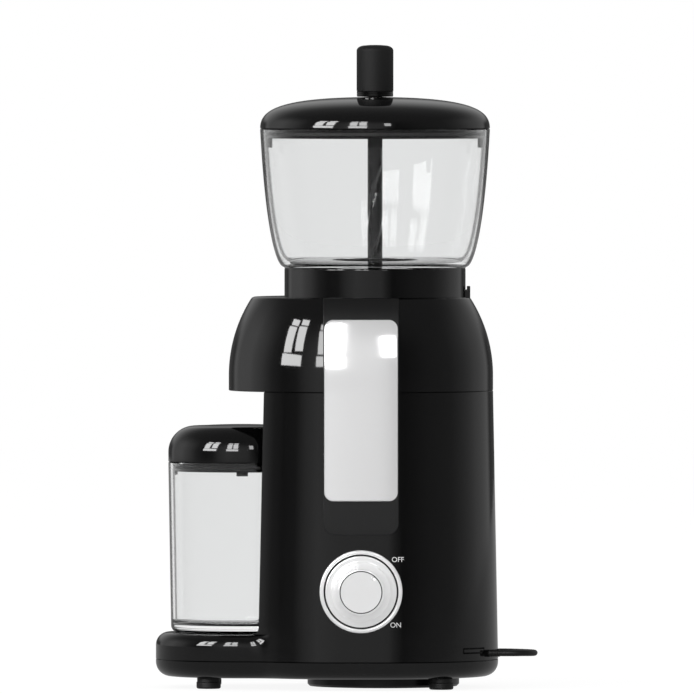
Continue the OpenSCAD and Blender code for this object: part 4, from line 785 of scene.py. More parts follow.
class GRINDER_OT_studio(bpy.types.Operator):
    """Set the camera, the floor, the white surround and the window light"""

    bl_idname = "grinder.studio"
    bl_label = "Studio"

    def camera(self, s):
        """A long lens that looks a little down on the middle of the machine."""
        sensor = 36
        target = Vector((s.view_x, MILL.y, s.view_z))
        back = Vector((0, -math.cos(s.lift), math.sin(s.lift)))
        view = bpy.data.cameras.new("view")
        view.lens, view.sensor_width = s.lens, sensor
        view.clip_start, view.clip_end = 0.05, 100
        holder = bpy.data.objects.new("view", view)
        holder.location = target + back * (s.span * s.lens / sensor)
        holder.rotation_euler = (math.pi / 2 - s.lift, 0, 0)
        bpy.context.collection.objects.link(holder)
        bpy.context.scene.camera = holder

    def surround(self, s):
        """White to the camera, white behind clear walls, and a shaded room with a low screen behind in gloss."""
        world = bpy.data.worlds.new("surround")
        bpy.context.scene.world = world
        world.use_nodes = True
        world.node_tree.nodes.clear()
        tree = Wire(world.node_tree)
        camera, through, glossy = rays(tree)
        way = tree.node("ShaderNodeTexCoord", out=0)
        x, y, z = (tree.node("ShaderNodeSeparateXYZ", None, {0: way}, out=key) for key in "XYZ")
        turn = tree.math("ARCTAN2", x, 0 - y) * (1 / math.tau) + 0.5
        stops = [(degrees / 360 + 0.5, level) for degrees, level in ROOM]
        round_room = tree.node("ShaderNodeValToRGB", {"stops": stops}, {0: turn})
        above = eased(tree, z, 0.30, 0.75)
        field = eased(tree, y, 0.05, 0.5, 0.05, 1)
        behind = eased(tree, y, 0.74, 0.86, 0, 0.8)
        screen = eased(tree, z, 0.08, 0.24, 1, 0)
        shade = (round_room + (CEILING - round_room) * above) * (1 - behind * screen)

        def light(strength):
            return tree.node("ShaderNodeBackground", None, {"Color": (1, 1, 1), "Strength": strength})

        lit = either(tree, glossy, light(s.fill), light(shade))
        seen = either(tree, camera, either(tree, through, lit, light(field)), light(1.0))
        tree.node("ShaderNodeOutputWorld", None, {"Surface": seen})

    def pane(self, name, azimuth, elevation, width, height, radiance, lit, roll=0):
        """A lamp of this angular size for dull surfaces, for gloss, or for gloss and clear walls."""
        reach = LAMP_REACH + (CLEAR_STEP if lit == "clear" else 0)
        a, e = math.radians(azimuth), math.radians(elevation)
        way = Vector((math.sin(a) * math.cos(e), -math.cos(a) * math.cos(e), math.sin(e)))
        lamp = bpy.data.lights.new(name, "AREA")
        lamp.shape = "RECTANGLE"
        lamp.size = 2 * reach * math.tan(math.radians(width / 2))
        lamp.size_y = 2 * reach * math.tan(math.radians(height / 2))
        lamp.energy = radiance * math.pi * lamp.size * lamp.size_y
        holder = bpy.data.objects.new(name, lamp)
        holder.location = LAMP_AIM + way * reach
        holder.rotation_mode = "QUATERNION"
        holder.rotation_quaternion = (-way).to_track_quat("-Z", "Y") @ Quaternion(UP, math.radians(roll))
        holder.visible_camera = False
        holder.visible_diffuse = lit == "dull"
        holder.visible_glossy = lit != "dull"
        holder.visible_transmission = lit == "clear"
        bpy.context.collection.objects.link(holder)

    def window(self, lit, level, name, azimuth, offset, width, tilt, share):
        """Two columns of panes over one wide pane, sheared so that they lie level in the body's mirror."""
        for i, (elevation, tall) in enumerate(ROWS):
            last = i == len(ROWS) - 1
            columns = ((0, 2 * width + MULLION),) if last else ((-offset, width), (offset, width))
            for k, (across, wide) in enumerate(columns):
                e = elevation + across * math.tan(math.radians(tilt))
                self.pane(f"{lit}_{name}{i}{k}", azimuth + across, e, wide * math.cos(math.radians(e)), tall,
                          level * share, lit, 0 if last else tilt / 2)

    def floor(self):
        """A pale disc, white to the camera under the shadow, and dim in gloss."""
        radius, inset, drop = 6, 3, 0.0002
        white_level, dim_level, cover = 1.06, 0.34, 0.86
        begin()
        bpy.ops.mesh.primitive_circle_add(vertices=96, radius=radius, fill_type="NGON", location=(0, 0, -drop))
        piece = named("floor")
        bpy.ops.object.mode_set(mode="EDIT")
        bpy.ops.mesh.inset(thickness=inset, depth=0)
        bpy.ops.object.mode_set(mode="OBJECT")
        bpy.ops.object.transform_apply(location=True, rotation=False, scale=False)
        material, place = begin_finish("pale_floor")
        pale = shaded(place, settings().colours.floor, 0.01, grain(place, 3, 3))
        dull = place.node("ShaderNodeBsdfDiffuse", None, {"Color": pale})
        camera, through, glossy = rays(place)
        white, dim = (place.node("ShaderNodeEmission", None, {"Color": (1, 1, 1), "Strength": level})
                      for level in (white_level, dim_level))
        plain = either(place, place.math("MAXIMUM", camera, through) * cover, dull, white)
        shader = either(place, glossy * (1 - through), plain, dim)
        place.node("ShaderNodeOutputMaterial", None, {"Surface": shader})
        piece.data.materials.append(material)

    def execute(self, context):
        s = settings().studio
        context.scene.view_settings.view_transform = "Standard"
        self.camera(s)
        self.surround(s)
        self.floor()
        for lit, part in PARTS:
            for window in WINDOWS:
                self.window(lit, s.window * part, *window)
            *angles, share = SLIM
            self.pane(f"{lit}_d", *angles, s.window * part * share, lit)
        for lamp in SOFT:
            self.pane(*lamp, "dull")
        return {"FINISHED"}


# The lead's points in millimetres, as in the solids: from the rear of the body round behind it, down to the coil
ROUTE = ((108, -21, 22), (111, -21, 22), (114, -21, 22), (118, -20.5, 22), (122, -18.7, 22), (125.5, -15.5, 21.9),
         (128, -11.5, 21.8), (129.3, -7, 21.7), (129.7, 0, 21.6), (129, 10, 21.4), (127, 20, 21.2), (124, 30, 21),
         (119.5, 40, 20.8), (113.5, 50, 20.6), (106, 59, 20.2), (97.5, 67, 18.8), (88, 74, 15.9), (77, 80, 11.8),
         (66, 84.5, 7.9), (55, 87.6, 5), (44, 89.4, 3.4), (34, 90, 2.8), (24, 90, 2.8))
# From the coil's upper layer over its turns to the plug
TAIL = ((12, 90.5, 7.9), (5, 92.6, 9.2), (-1, 97, 10.8), (-4.5, 103, 12.2), (-5.2, 110, 13.6), (-3.6, 117, 15.4),
        (0.4, 122.6, 16.9), (6, 125.6, 17.6), (10, 126, 17.8), (14, 126, 17.8))
# Middle of the coil's lower layer, in metres
COIL = Vector((0.020, 0.1175, 0.0028))
# The plug's sections: share of its length, half width and half thickness in metres
PLUG = ((0, 0.0040, 0.0040), (0.01, 0.0046, 0.0046), (0.06, 0.0050, 0.0050), (0.2, 0.0062, 0.0056),
        (0.33, 0.0080, 0.0062), (0.46, 0.0112, 0.0066), (0.58, 0.0139, 0.00685), (0.68, 0.0151, 0.00685),
        (0.75, 0.0153, 0.00685), (0.955, 0.0153, 0.00685), (0.985, 0.0150, 0.0066), (1, 0.0144, 0.0060))


class GRINDER_OT_cord(bpy.types.Operator):
    """Lay the mains lead from its exit, round behind and into its tied coil, with its plug on top"""

    bl_idname = "grinder.cord"
    bl_label = "Mains lead"

    def path(self, s):
        """The lead's points: out of the rear, two layers of turns, and over the coil to the plug."""
        points = [Vector(p) / 1000 for p in ROUTE]
        quarter_turn = 0.25
        for i in range(int(2 * s.half_turns * s.rings) + 1):
            turn = i / s.rings
            layer = turn if turn < s.half_turns else 2 * s.half_turns - turn
            climb = min(1, max(0, (turn - s.half_turns + quarter_turn) / (2 * quarter_turn)))
            a, r = -math.pi / 2 - math.tau * turn, s.coil_r - s.coil_step * layer
            points.append(COIL + Vector((r * math.cos(a), r * math.sin(a), s.coil_step * climb)))
        return points + [Vector(p) / 1000 for p in TAIL]

    def lead(self, s, points):
        """A round lead on one smooth curve."""
        curve = bpy.data.curves.new("mains_lead", "CURVE")
        curve.dimensions, curve.resolution_u = "3D", 3
        curve.bevel_depth, curve.bevel_resolution, curve.use_fill_caps = s.diameter / 2, 4, True
        spline = curve.splines.new("BEZIER")
        spline.bezier_points.add(len(points) - 1)
        for knot, point in zip(spline.bezier_points, points):
            knot.co = point
            knot.handle_left_type = knot.handle_right_type = "AUTO"
        piece = bpy.data.objects.new("mains_lead", curve)
        bpy.context.collection.objects.link(piece)
        curve.materials.append(finish("rubbery"))
        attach(piece, "machine")
        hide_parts("power_cord", "cord_coil")
        return piece

    def relief(self, s):
        """A tapered sleeve with rings cut round it, like those that let a real sleeve bend evenly."""
        lo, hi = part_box("strain_relief")
        run, exit_point = hi.x - lo.x, middle("strain_relief")
        bore_r, root, tip = s.diameter / 2 - 0.0002, 0.0025, s.diameter / 2 + 0.0003
        flange, flange_t, step, soft = 0.0012, 0.0016, 0.0004, 0.0003
        count, first, pitch, deep, slope, floor = 7, 0.0105, 0.0014, 0.00028, 0.00015, 0.00035
        profile = [(bore_r, 0), (root + flange, 0), (root + flange, flange_t), (root, flange_t + step)]
        for i in range(count):
            d = run - first + i * pitch
            r = root + (tip - root) * d / run
            profile += [(r, d), (r - deep, d + slope), (r - deep, d + slope + floor), (r, d + 2 * slope + floor)]
        profile += [(tip, run - soft), (tip - soft, run), (bore_r, run)]
        profile.append(profile[0])
        start = Vector((lo.x, exit_point.y, exit_point.z))
        sleeve = lathe("strain_relief_sleeve", profile, start, Vector((1, 0, 0)), 48)
        return dress(sleeve, "machine", ["strain_relief"], "rubbery")

    def tie(self):
        """A flat band round the coil's turns."""
        lo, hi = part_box("cord_tie")
        centre, thick, r, soft = (lo + hi) / 2, 0.0006, 0.0026, 0.0002
        x, z = (hi.x - lo.x) / 2 - r, (hi.z - lo.z) / 2 - r
        section = ((r - thick, lo.y), (r - soft / 2, lo.y), (r, lo.y + soft),
                   (r, hi.y - soft), (r - soft / 2, hi.y), (r - thick, hi.y))
        rings = []
        for dx, dz, turn in ((x, z, 0), (-x, z, 90), (-x, -z, 180), (x, -z, 270)):
            foot = Vector((centre.x + dx, 0, centre.z + dz))
            for a in (math.radians(turn + 15 * k) for k in range(7)):
                out = Vector((math.cos(a), 0, math.sin(a)))
                rings.append([foot + out * depth + Vector((0, y, 0)) for depth, y in section])
        band = loft("coil_tie", rings, closed=True)
        return dress(band, "machine", ["cord_tie"], "matte_black")

    def plug(self):
        """A moulded plug that widens from the lead to the face with the pins."""
        lo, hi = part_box("plug")
        centre, run, fullness, steps = (lo + hi) / 2, hi.x - lo.x, 0.82, 8
        rings = []
        for t, wide, thick in PLUG:
            r = min(wide, thick) * fullness
            ring = []
            for sy, sz, turn in ((1, 1, 0), (-1, 1, 90), (-1, -1, 180), (1, -1, 270)):
                for a in (math.radians(turn + 90 * k / steps) for k in range(steps + 1)):
                    y, z = sy * (wide - r) + r * math.cos(a), sz * (thick - r) + r * math.sin(a)
                    ring.append(Vector((lo.x + run * t, centre.y + y, centre.z + z)))
            rings.append(ring)
        body = loft("plug_moulding", rings)
        return dress(body, "machine", ["plug"], "rubbery", 40)

    def execute(self, context):
        s = settings().cord
        points = self.path(s)
        lead = self.lead(s, points)
        pieces = [self.relief(s), self.tie(), self.plug(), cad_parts["plug_pins"]]
        paint(["plug_pins"], "cut_brass")
        return {"FINISHED"}


class GRINDER_OT_base(bpy.types.Operator):
    """Model the rounded pan, its screw wells and the rubber feet"""

    bl_idname = "grinder.base"
    bl_label = "Base"

    def pan(self, s):
        """The pan with its rounded lower edge, and wells for the screws."""
        rings = []
        for sine, cosine in quarter(8):
            inset, z = s.pan_edge * (1 - sine), Z_PAN + s.pan_edge * (1 - cosine)
            rings.append(at_height(base_outline(s.base_r, inset, True), z))
        rings.append(at_height(base_outline(s.base_r, 0, True), Z_SEAM - s.seam))
        rings.append(at_height(base_outline(s.base_r, s.seam, True), Z_SEAM))
        pan = loft("pan", rings)
        reach, mouth_r, floor_r, deep, past = s.pan_edge + 0.0054, 0.0038, 0.0034, 0.004, 0.001
        well = [(0, -past), (mouth_r, -past), (floor_r, deep), (0, deep)]
        for end, r, spread in ((rear_end(), s.base_r - reach, 75), (JAR, s.tray_r - reach, 80)):
            for a in (math.radians(-spread), math.radians(spread)):
                spot = Vector((end.x + r * math.cos(a), end.y + r * math.sin(a), Z_PAN))
                cut(pan, lathe("well", well, spot, steps=32))
        dress(pan, "machine", ["base_pan"], "gloss_black")

    def feet(self):
        """Four rubber pads, dished underneath, with a step where they go into the pan."""
        lo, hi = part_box("feet")
        r, z, edge, step, step_z = 0.0076, hi.z, 0.0012, 0.0004, 0.004
        dish, dish_r, slope = 0.0003, 0.005, 0.0005
        profile = [(0, dish), (dish_r - slope, dish), (dish_r, 0)] + corner((r - edge, edge), edge, -90, 0, 5)
        profile += [(r, step_z), (r - step, step_z + step), (r - step, z), (0, z)]
        front, rear, front_y, rear_y = lo.x + r, hi.x - r, 0.030, 0.046
        places = ((front, front_y), (front, -front_y), (rear, rear_y), (rear, -rear_y))
        pads = merge(*[lathe("foot", profile, Vector((x, MILL.y + y, 0)), steps=64) for x, y in places])
        pads.name = pads.data.name = "foot_pads"
        dress(pads, "machine", ["feet"], "rubbery")

    def execute(self, context):
        self.pan(settings().shell)
        self.feet()
        paint(["vent_cover"], "satin_black")
        paint(["base_screws"], "turned_steel")
        return {"FINISHED"}


# Middles of the upper and the lower word, across and up from the dial's middle
WORD_PLACES = ((0.0229, 0.0198), (0.0216, -0.0209))


class GRINDER_OT_column(bpy.types.Operator):
    """Model the lower shell: tray, hollow blends, niche, column, label slot and lettering"""

    bl_idname = "grinder.column"
    bl_label = "Column and tray"

    def shell(self, s):
        """Tray and column in one, lofted from the seam to the head."""
        rings = [at_height(base_outline(side_r(Z_SEAM), s.seam, True), Z_SEAM),
                 at_height(base_outline(side_r(Z_SEAM), 0, True), Z_SEAM + s.seam)]
        for sine, cosine in quarter(8):
            z = Z_TRAY - s.tray_edge * (1 - sine)
            rings.append(at_height(base_outline(side_r(z), s.tray_edge * (1 - cosine), False), z))
        for sine, cosine in quarter(7):
            z = Z_TRAY + s.niche_foot * (1 - cosine)
            rings.append(at_height(column_outline(side_r(z), s.niche_foot * (1 - sine)), z))
        rings.append(at_height(column_outline(side_r(Z_HEAD), 0), Z_HEAD - s.seam))
        rings.append(at_height(column_outline(side_r(Z_HEAD) - s.seam, -s.seam), Z_HEAD))
        return loft("column", rings)

    def label_slot(self, shell):
        """Two V grooves round the rear end, joined by two short ones."""
        low_z, high_z, skin_z, half, deep, past = 0.0227, 0.0255, 0.0247, 0.0005, 0.0007, 0.002
        start, end, end_w = -45.5, -28.2, 0.7
        r, spread = side_r(skin_z), half * (deep + past) / deep
        grooves = [([(r - deep, z), (r + past, z - spread), (r + past, z + spread)], start, end, 8)
                   for z in (low_z, high_z)]
        upright = [(r - deep, low_z), (r + past, low_z), (r + past, high_z), (r - deep, high_z)]
        grooves += [(upright, a, a + end_w, 2) for a in (start, end - end_w)]
        for profile, a, b, steps in grooves:
            cut(shell, ring_block("groove", profile, rear_end(), math.radians(a), math.radians(b), steps))

    def lettering(self, word, dx, dz):
        """One word printed on the shell beside the dial."""
        cap, ink, sunk = 0.7, 0.00003, 0.00002
        begin()
        bpy.ops.object.text_add(location=(0, 0, 0), rotation=(math.pi / 2, 0, 0))
        text = bpy.context.object
        text.data.body = word
        text.data.size = settings().panel.print_h / cap
        text.data.align_x, text.data.align_y = "CENTER", "CENTER"
        text.data.extrude = ink
        bpy.ops.object.convert(target="MESH")
        piece = named("print_" + word.lower())
        bpy.ops.object.transform_apply(location=True, rotation=True, scale=True)
        rear = rear_end()
        for vertex in piece.data.vertices:
            x, z = DIAL.x + dx + vertex.co.x, DIAL.z + dz + vertex.co.z
            away = max(0, x - rear.x)
            vertex.co = (x, MILL.y - math.sqrt(side_r(z) ** 2 - away**2) - sunk + vertex.co.y, z)
        return dress(piece, "machine", [], "printed")

    def execute(self, context):
        shell = self.shell(settings().shell)
        self.label_slot(shell)
        dress(shell, "machine", ["lower_housing"], "gloss_black")
        for word, offset in zip(settings().studio.words.split(), WORD_PLACES):
            self.lettering(word, *offset)
        return {"FINISHED"}


class GRINDER_OT_head(bpy.types.Operator):
    """Model the rounded head with its mill hole and spout hole, the collar and the catch"""

    bl_idname = "grinder.head"
    bl_label = "Head and collar"

    def shell(self, s):
        """The head's section carried round the stadium plan."""
        upright, z_edge, steps, half_turn = Z_HEAD + s.shoulder_rise, Z_TOP - s.top_edge, 20, 72
        heights = [upright + (z_edge - upright) * i / steps for i in range(steps + 1)]
        section = [(s.head_r - s.seam, Z_HEAD), (s.head_r, Z_HEAD + s.seam)]
        section += [(shoulder_r(z), z) for z in heights]
        slope = math.asin((z_edge - upright) / s.shoulder_r)
        r = s.top_edge / (1 - math.sin(slope))
        section += corner((shoulder_r(z_edge) - r * math.cos(slope), Z_TOP - r), r, math.degrees(slope), 90, 8)[1:]
        rings = []
        for r, z in section:
            rear = arc(rear_end(), r, -math.pi / 2, math.pi / 2, half_turn)
            rings.append(at_height(rear + arc(front_end(), r, math.pi / 2, 1.5 * math.pi, half_turn), z))
        head = loft("head", rings)
        floor, past, spout_run, spout_deep = 0.003, 0.002, 0.066, 0.018
        bore(head, MILL_AXIS, s.cup_hole, Z_HEAD + floor, Z_TOP + past, 96)
        bore(head, MILL_AXIS - Vector((spout_run, 0, 0)), s.spout_hole, Z_HEAD - past, Z_HEAD + spout_deep, 64)
        dress(head, "machine", ["upper_housing"], "gloss_black")

    def collar(self, v):
        """The ring that the hopper's neck goes into."""
        play, soft, lead_in, seat = 0.0003, 0.0008, 0.0006, 0.0004
        r, hole = v.collar_r, v.neck_r + play
        profile = [(hole, Z_TOP), (r, Z_TOP), (r, Z_TOP + seat)]
        profile += corner((r - soft, Z_COLLAR - soft), soft, 0, 90, 5)
        profile += [(hole + lead_in, Z_COLLAR), (hole, Z_COLLAR - lead_in), (hole, Z_TOP)]
        collar = lathe("collar", profile, MILL_AXIS, steps=192)
        dress(collar, "machine", ["hopper_collar"], "gloss_black")

    def catch(self, v):
        """A small hook on the collar's rear, notched where it meets the ring."""
        lo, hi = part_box("collar_catch")
        x, half, deep = MILL.x + v.collar_r, 0.0008, 0.0022
        outline = [(lo.x, lo.z), (hi.x, lo.z), (hi.x, hi.z), (x + half, hi.z), (x + half, hi.z - deep),
                   (x - half, hi.z - deep), (x - half, hi.z), (lo.x, hi.z)]
        catch = loft("catch", [[Vector((a, y, b)) for a, b in outline] for y in (lo.y, hi.y)])
        soften(catch, 0.00035)
        dress(catch, "machine", ["collar_catch"], "gloss_black")

    def execute(self, context):
        self.shell(settings().shell)
        self.collar(settings().vessel)
        self.catch(settings().vessel)
        return {"FINISHED"}


class GRINDER_OT_side(bpy.types.Operator):
    """Lay the trim strip and the crowned silver panel on the flat side"""

    bl_idname = "grinder.side"
    bl_label = "Trim and panel"

    def levels(self, bottom, top, r, soft, round_top):
        """Heights of a plate's rings, close together at its soft edges and round corners."""
        edge_steps, side_steps, corner_shares = 5, 40, (0.16, 0.22, 0.3, 0.4, 0.5, 0.62, 0.75, 0.88, 1.0)
        edge = [bottom + soft * (1 - cosine) for _, cosine in quarter(edge_steps)]
        foot = edge + [bottom + r * share for share in corner_shares]
        start, end = foot[-1], top - (r if round_top else soft)
        side = [start + (end - start) * i / side_steps for i in range(1, side_steps)]
        return sorted(set(foot + side + [top - z + bottom for z in (foot if round_top else edge)]))

    def plate(self, name, half, bottom, top, r, back, front, crown, soft, round_top):
        """A plate that follows the side's profile, lofted from its lower end to its upper end."""
        edge_steps, face_steps = 5, 16
        rings = []
        for z in self.levels(bottom, top, r, soft, round_top):
            near = z - bottom if z - bottom < top - z or not round_top else top - z
            end = min(z - bottom, top - z)
            drop = soft - math.sqrt(max(0, soft**2 - (soft - end) ** 2)) if end < soft else 0
            width = half - r + math.sqrt(max(0, r * r - (r - near) ** 2)) if near < r else half
            edge = [(-width, -back)] + [(-width + soft * (1 - cosine), front - drop - soft * (1 - sine))
                                        for sine, cosine in quarter(edge_steps)]
            flat = width - soft
            face = [(-flat + 2 * flat * k / face_steps, front - drop) for k in range(1, face_steps)]
            ring = []
            for x, d in edge + face + [(-x, d) for x, d in reversed(edge)]:
                lift = crown * (1 - (x / half) ** 2) if d > 0 else 0
                ring.append(Vector((BODY.x + x, BODY.y - skin_r(z) - d - lift, z)))
            rings.append(ring)
        return loft(name, rings)

    def execute(self, context):
        p = settings().panel
        sunk, trim_soft = 0.0010, 0.0004
        bottom, top = low("side_trim").z, high("side_trim").z
        strip = self.plate("trim_strip", p.trim_half, bottom, top, p.trim_corner, sunk, p.trim_proud, 0, trim_soft,
                           False)
        dress(strip, "machine", ["side_trim"], "satin_black")
        bottom, top = low("silver_panel").z, high("silver_panel").z
        panel = self.plate("silver_face", p.panel_half, bottom, top, p.panel_corner, -p.trim_proud / 2,
                           p.trim_proud + p.panel_t, p.panel_crown, p.panel_soft, True)
        dress(panel, "machine", ["silver_panel"], "satin_silver")
        return {"FINISHED"}


class GRINDER_OT_dial(bpy.types.Operator):
    """Turn the chrome bezel and the dial knob with its pointer dimple"""

    bl_idname = "grinder.dial"
    bl_label = "Dial"

    def bezel(self, p, centre, out):
        """A half-round chrome ring with a black floor round the switch's shaft."""
        r, inner, soft, hole, rebate = p.bezel_r, p.bezel_r - p.bezel_w, 0.001, 0.0052, 0.002
        floor, back, seat, edge = 0.0004, -0.0012, -0.0034, 0.0003
        profile = [(hole, back), (inner - rebate, back), (inner - rebate, seat), (r, seat)]
        profile += corner((r - soft, BEZEL_PROUD - soft), soft, 0, 90, 6)
        profile += corner((inner + soft, BEZEL_PROUD - soft), soft, 90, 180, 6)
        profile += [(inner, floor), (hole, floor), (hole, back)]
        ring = lathe("bezel", profile, centre, out, 128)
        dress(ring, "machine", ["dial_bezel"], "bright_chrome")
        second_finish(ring, "satin_black", lambda spot: (spot - centre).xz.length < inner - edge)

    def knob(self, p, centre, out):
        """A tapered grip on a flange, with a fine groove round its face darkened by painted shade, and a pointer
        dimple.
        """
        face, tall, painted_shade_depth, dish = p.face_r, 0.0145, 0.0008, 0.00035
        gap, rim, rim_z, fillet, fillet_z, nose, nose_in = 0.0008, 0.0008, 0.0026, 0.0012, 0.0046, 0.0011, 0.0009
        face_groove = ((0.0011, 0.0001), (0.0014, 0.0007), (0.0017, 0.0003))
        profile = [(0, gap), (p.flange_r, gap)] + corner((p.flange_r - rim, rim_z), rim, 0, 90, 4)
        profile += corner((p.grip_r + fillet, fillet_z), fillet, 270, 190, 4)
        profile += corner((face - nose_in, tall - nose), nose, 12, 100, 6)
        profile += [(face - inset, tall - depth) for inset, depth in face_groove] + [(0, tall - dish)]
        knob = lathe("dial_grip", profile, centre, out, 128)
        angle, reach, ball, proud = math.radians(48), 0.0115, 0.0018, 0.0006
        spot = centre + Vector((reach * math.cos(angle), -tall - proud, reach * math.sin(angle)))
        cut(knob, lathe("dimple", [(0, -ball), *corner((0, 0), ball, -70, 70, 8), (0, ball)], spot, out, 32))
        dress(knob, "dial", ["dial_knob"], "bright_chrome")

        def in_painted_groove_shade(spot):
            inset, height = face - (spot - centre).xz.length, centre.y - spot.y
            return face_groove[0][0] < inset < face_groove[-1][0] and height > tall - painted_shade_depth

        # Painted shade: the groove's faces near the knob's face take the black finish, so the groove reads as a
        # dark line
        second_finish(knob, "satin_black", in_painted_groove_shade)

    def execute(self, context):
        centre, out = Vector((DIAL.x, Y_FACE, DIAL.z)), Vector((0, -1, 0))
        self.bezel(settings().panel, centre, out)
        self.knob(settings().panel, centre, out)
        paint(["switch_shaft"], "turned_steel")
        return {"FINISHED"}


class GRINDER_OT_hopper(bpy.types.Operator):
    """Turn the clear hopper, with its foot and neck"""

    bl_idname = "grinder.hopper"
    bl_label = "Hopper"

    def execute(self, context):
        v = settings().vessel
        r, wall, foot, neck_r = v.hopper_r, v.hopper_wall, v.foot_r, v.neck_r
        z0, z1, neck = Z_COLLAR + HAIR, Z_RIM - HAIR, low("hopper").z
        soft, throat, edge = 0.0003, 0.0005, 0.0006
        belly, belly_drop, hip, hip_rise = 0.0028, 0.055, 0.0088, 0.002
        outer = bezier((r, Z_RIM - soft), (r - belly, Z_RIM - belly_drop), (r - hip, Z_COLLAR + hip_rise),
                       (foot, Z_COLLAR + edge))
        inner = bezier((r - wall, Z_RIM - soft), (r - belly - wall, Z_RIM - belly_drop),
                       (r - hip - wall, Z_COLLAR + hip_rise + wall), (foot - wall, Z_COLLAR + edge + wall))
        profile = [(r - wall + soft, z1), (r - soft, z1)] + outer
        profile += [(foot - edge, z0), (neck_r, z0), (neck_r, neck + soft), (neck_r - soft, neck)]
        hole, floor = neck_r - wall, z0 + wall
        profile += [(hole + soft, neck), (hole, neck + soft), (hole, floor - throat), (hole + throat, floor),
                    (foot - wall - edge, floor)]
        profile += list(reversed(inner)) + [(r - wall + soft, z1)]
        hopper = lathe("clear_hopper", profile, MILL_AXIS, steps=192)
        dress(hopper, "hopper", ["hopper"], "clear_plastic", 40)
        return {"FINISHED"}


def skirt_profile(r, skirt, rim, depth, wall):
    """A lid's underside: from its edge on the rim, down round its skirt and up to its inner face."""
    soft, thick = 0.0004, 0.0025
    return [(r - LID_EDGE, rim + HAIR), (skirt, rim + HAIR), (skirt, rim - depth + soft),
            (skirt - soft, rim - depth), (skirt - thick, rim - depth), (skirt - thick, rim + wall)]


def lugs(centre, skirt, reach, half, bottom, top):
    """Four blocks under a lid's skirt, a quarter turn apart."""
    inset, overlap, soft = 0.0006, 0.0006, 0.0004
    inner, outer, top = skirt - reach, skirt - inset, top + overlap
    profile, w = [(inner, bottom), (outer, bottom), (outer, top), (inner, top)], half / outer
    bearings = [k * math.pi / 2 for k in range(4)]
    return [soften(ring_block("lug", profile, centre, a - w, a + w, 4), soft, 2) for a in bearings]


class GRINDER_OT_hopper_lid(bpy.types.Operator):
    """Turn the domed hopper lid with its skirt, hub and lugs"""

    bl_idname = "grinder.hopper_lid"
    bl_label = "Hopper lid"

    def execute(self, context):
        v = settings().vessel
        r, wall, play, rise, dome_r = v.hopper_r, v.lid_wall, 0.0009, 0.012, 0.060
        hub, hub_wall, hub_depth, top_gap, under_gap = 0.00705, 0.0025, 0.012, 0.0005, 0.0001
        lug_reach, lug_half = 0.0042, 0.0045
        skirt, under, hub_z = r - v.hopper_wall - play, Z_DOME - wall, Z_DOME - hub_depth
        outer = bezier((r, Z_RIM + LID_EDGE), (r, Z_RIM + rise), (dome_r, Z_DOME), (0, Z_DOME), 40)
        inner = bezier((r - wall, Z_RIM + wall), (r - wall, Z_RIM + rise - wall), (dome_r, under), (hub, under),
                       30)
        profile = [(hub, hub_z), (hub, Z_DOME)] + [p for p in reversed(outer) if p[0] > hub + top_gap]
        profile += skirt_profile(r, skirt, Z_RIM, v.skirt, wall)
        profile += [p for p in inner if p[0] > hub + hub_wall + under_gap]
        profile += [(hub + hub_wall, under), (hub + hub_wall, hub_z), (hub, hub_z)]
        lid = lathe("lid_dome", profile, MILL_AXIS, steps=192)
        merge(lid, *lugs(MILL_AXIS, skirt, lug_reach, lug_half, low("hopper_lid").z, Z_RIM - v.skirt))
        dress(lid, "hopper_lid", ["hopper_lid"], "gloss_black")
        paint(["lid_seal"], "black_seal")
        paint(["lid_bush"], "white_nylon")
        return {"FINISHED"}


class GRINDER_OT_stirrer(bpy.types.Operator):
    """Turn the stirrer's knob and model its rod with two wound flats"""

    bl_idname = "grinder.stirrer"
    bl_label = "Stirrer"

    def knob(self, v):
        """A matte knob with a rounded top, on a gloss foot with three fine grooves."""
        z0, z1, r = low("stirrer_knob").z, high("stirrer_knob").z, v.knob_r
        foot_r, foot_h, lip, first, pitch, groove = r - 0.0001, 0.003, 0.00025, 0.0006, 0.0009, 0.0002
        profile = [(0, z0), (r - 0.0018, z0), (r - 0.0015, z0 - lip), (r - 0.0005, z0 - lip),
                   (foot_r, z0 + groove)]
        for z in (z0 + first + k * pitch for k in range(3)):
            profile += [(foot_r, z), (foot_r - groove, z + groove), (foot_r, z + 2 * groove)]
        wide, tall, shoulder = 0.0054, 0.0033, z1 - 0.0036
        profile += [(foot_r, z0 + 0.0029), (r - 0.0004, z0 + 0.0031), (r, z0 + 0.0034), (r, shoulder)]
        profile += [(r - wide * (1 - cosine), shoulder + tall * sine) for sine, cosine in quarter(8)[1:]]
        profile += [(r * 0.3, z1 - 0.00006), (0, z1)]
        knob = lathe("stirrer_grip", profile, MILL_AXIS, steps=128)
        dress(knob, "stirrer", ["stirrer_knob"], "matte_black")
        second_finish(knob, "gloss_black", lambda spot: spot.z < z0 + foot_h)

    def rod(self, v):
        """A rod with a rounded tip and two shallow flats that wind round its lower part."""
        lo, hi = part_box("stirrer_rod")
        steps, count, pitch, phase, short, least = 130, 64, 0.080, 0.0245, 0.001, 0.01
        tip_h, tip_share, flat_start, fade_in, flat_end, fade_out = 0.0015, 0.18, 0.003, 0.004, 0.062, 0.006
        rings = []
        for i in range(steps + 1):
            h = (hi.z - short - lo.z) * i / steps
            tip = min(1.0, h / tip_h)
            round_r = v.rod_r * (1 - tip_share + tip_share * math.sqrt(1 - (1 - tip) ** 2))
            fade = min(1.0, max(0.0, (flat_end - h) / fade_out), max(0.0, (h - flat_start) / fade_in))
            ring = []
            for a in (math.tau * k / count for k in range(count)):
                lean = abs(math.cos(a - math.tau * (h - phase) / pitch))
                reach = min(round_r, (v.rod_r - v.flat * fade) / max(lean, least))
                ring.append(Vector((MILL.x + reach * math.cos(a), MILL.y + reach * math.sin(a), lo.z + h)))
            rings.append(ring)
        rod = loft("stirrer_shaft", rings)
        dress(rod, "stirrer", ["stirrer_rod"], "rod_black")

    def execute(self, context):
        self.knob(settings().vessel)
        self.rod(settings().vessel)
        paint(["rod_clip"], "turned_steel")
        return {"FINISHED"}


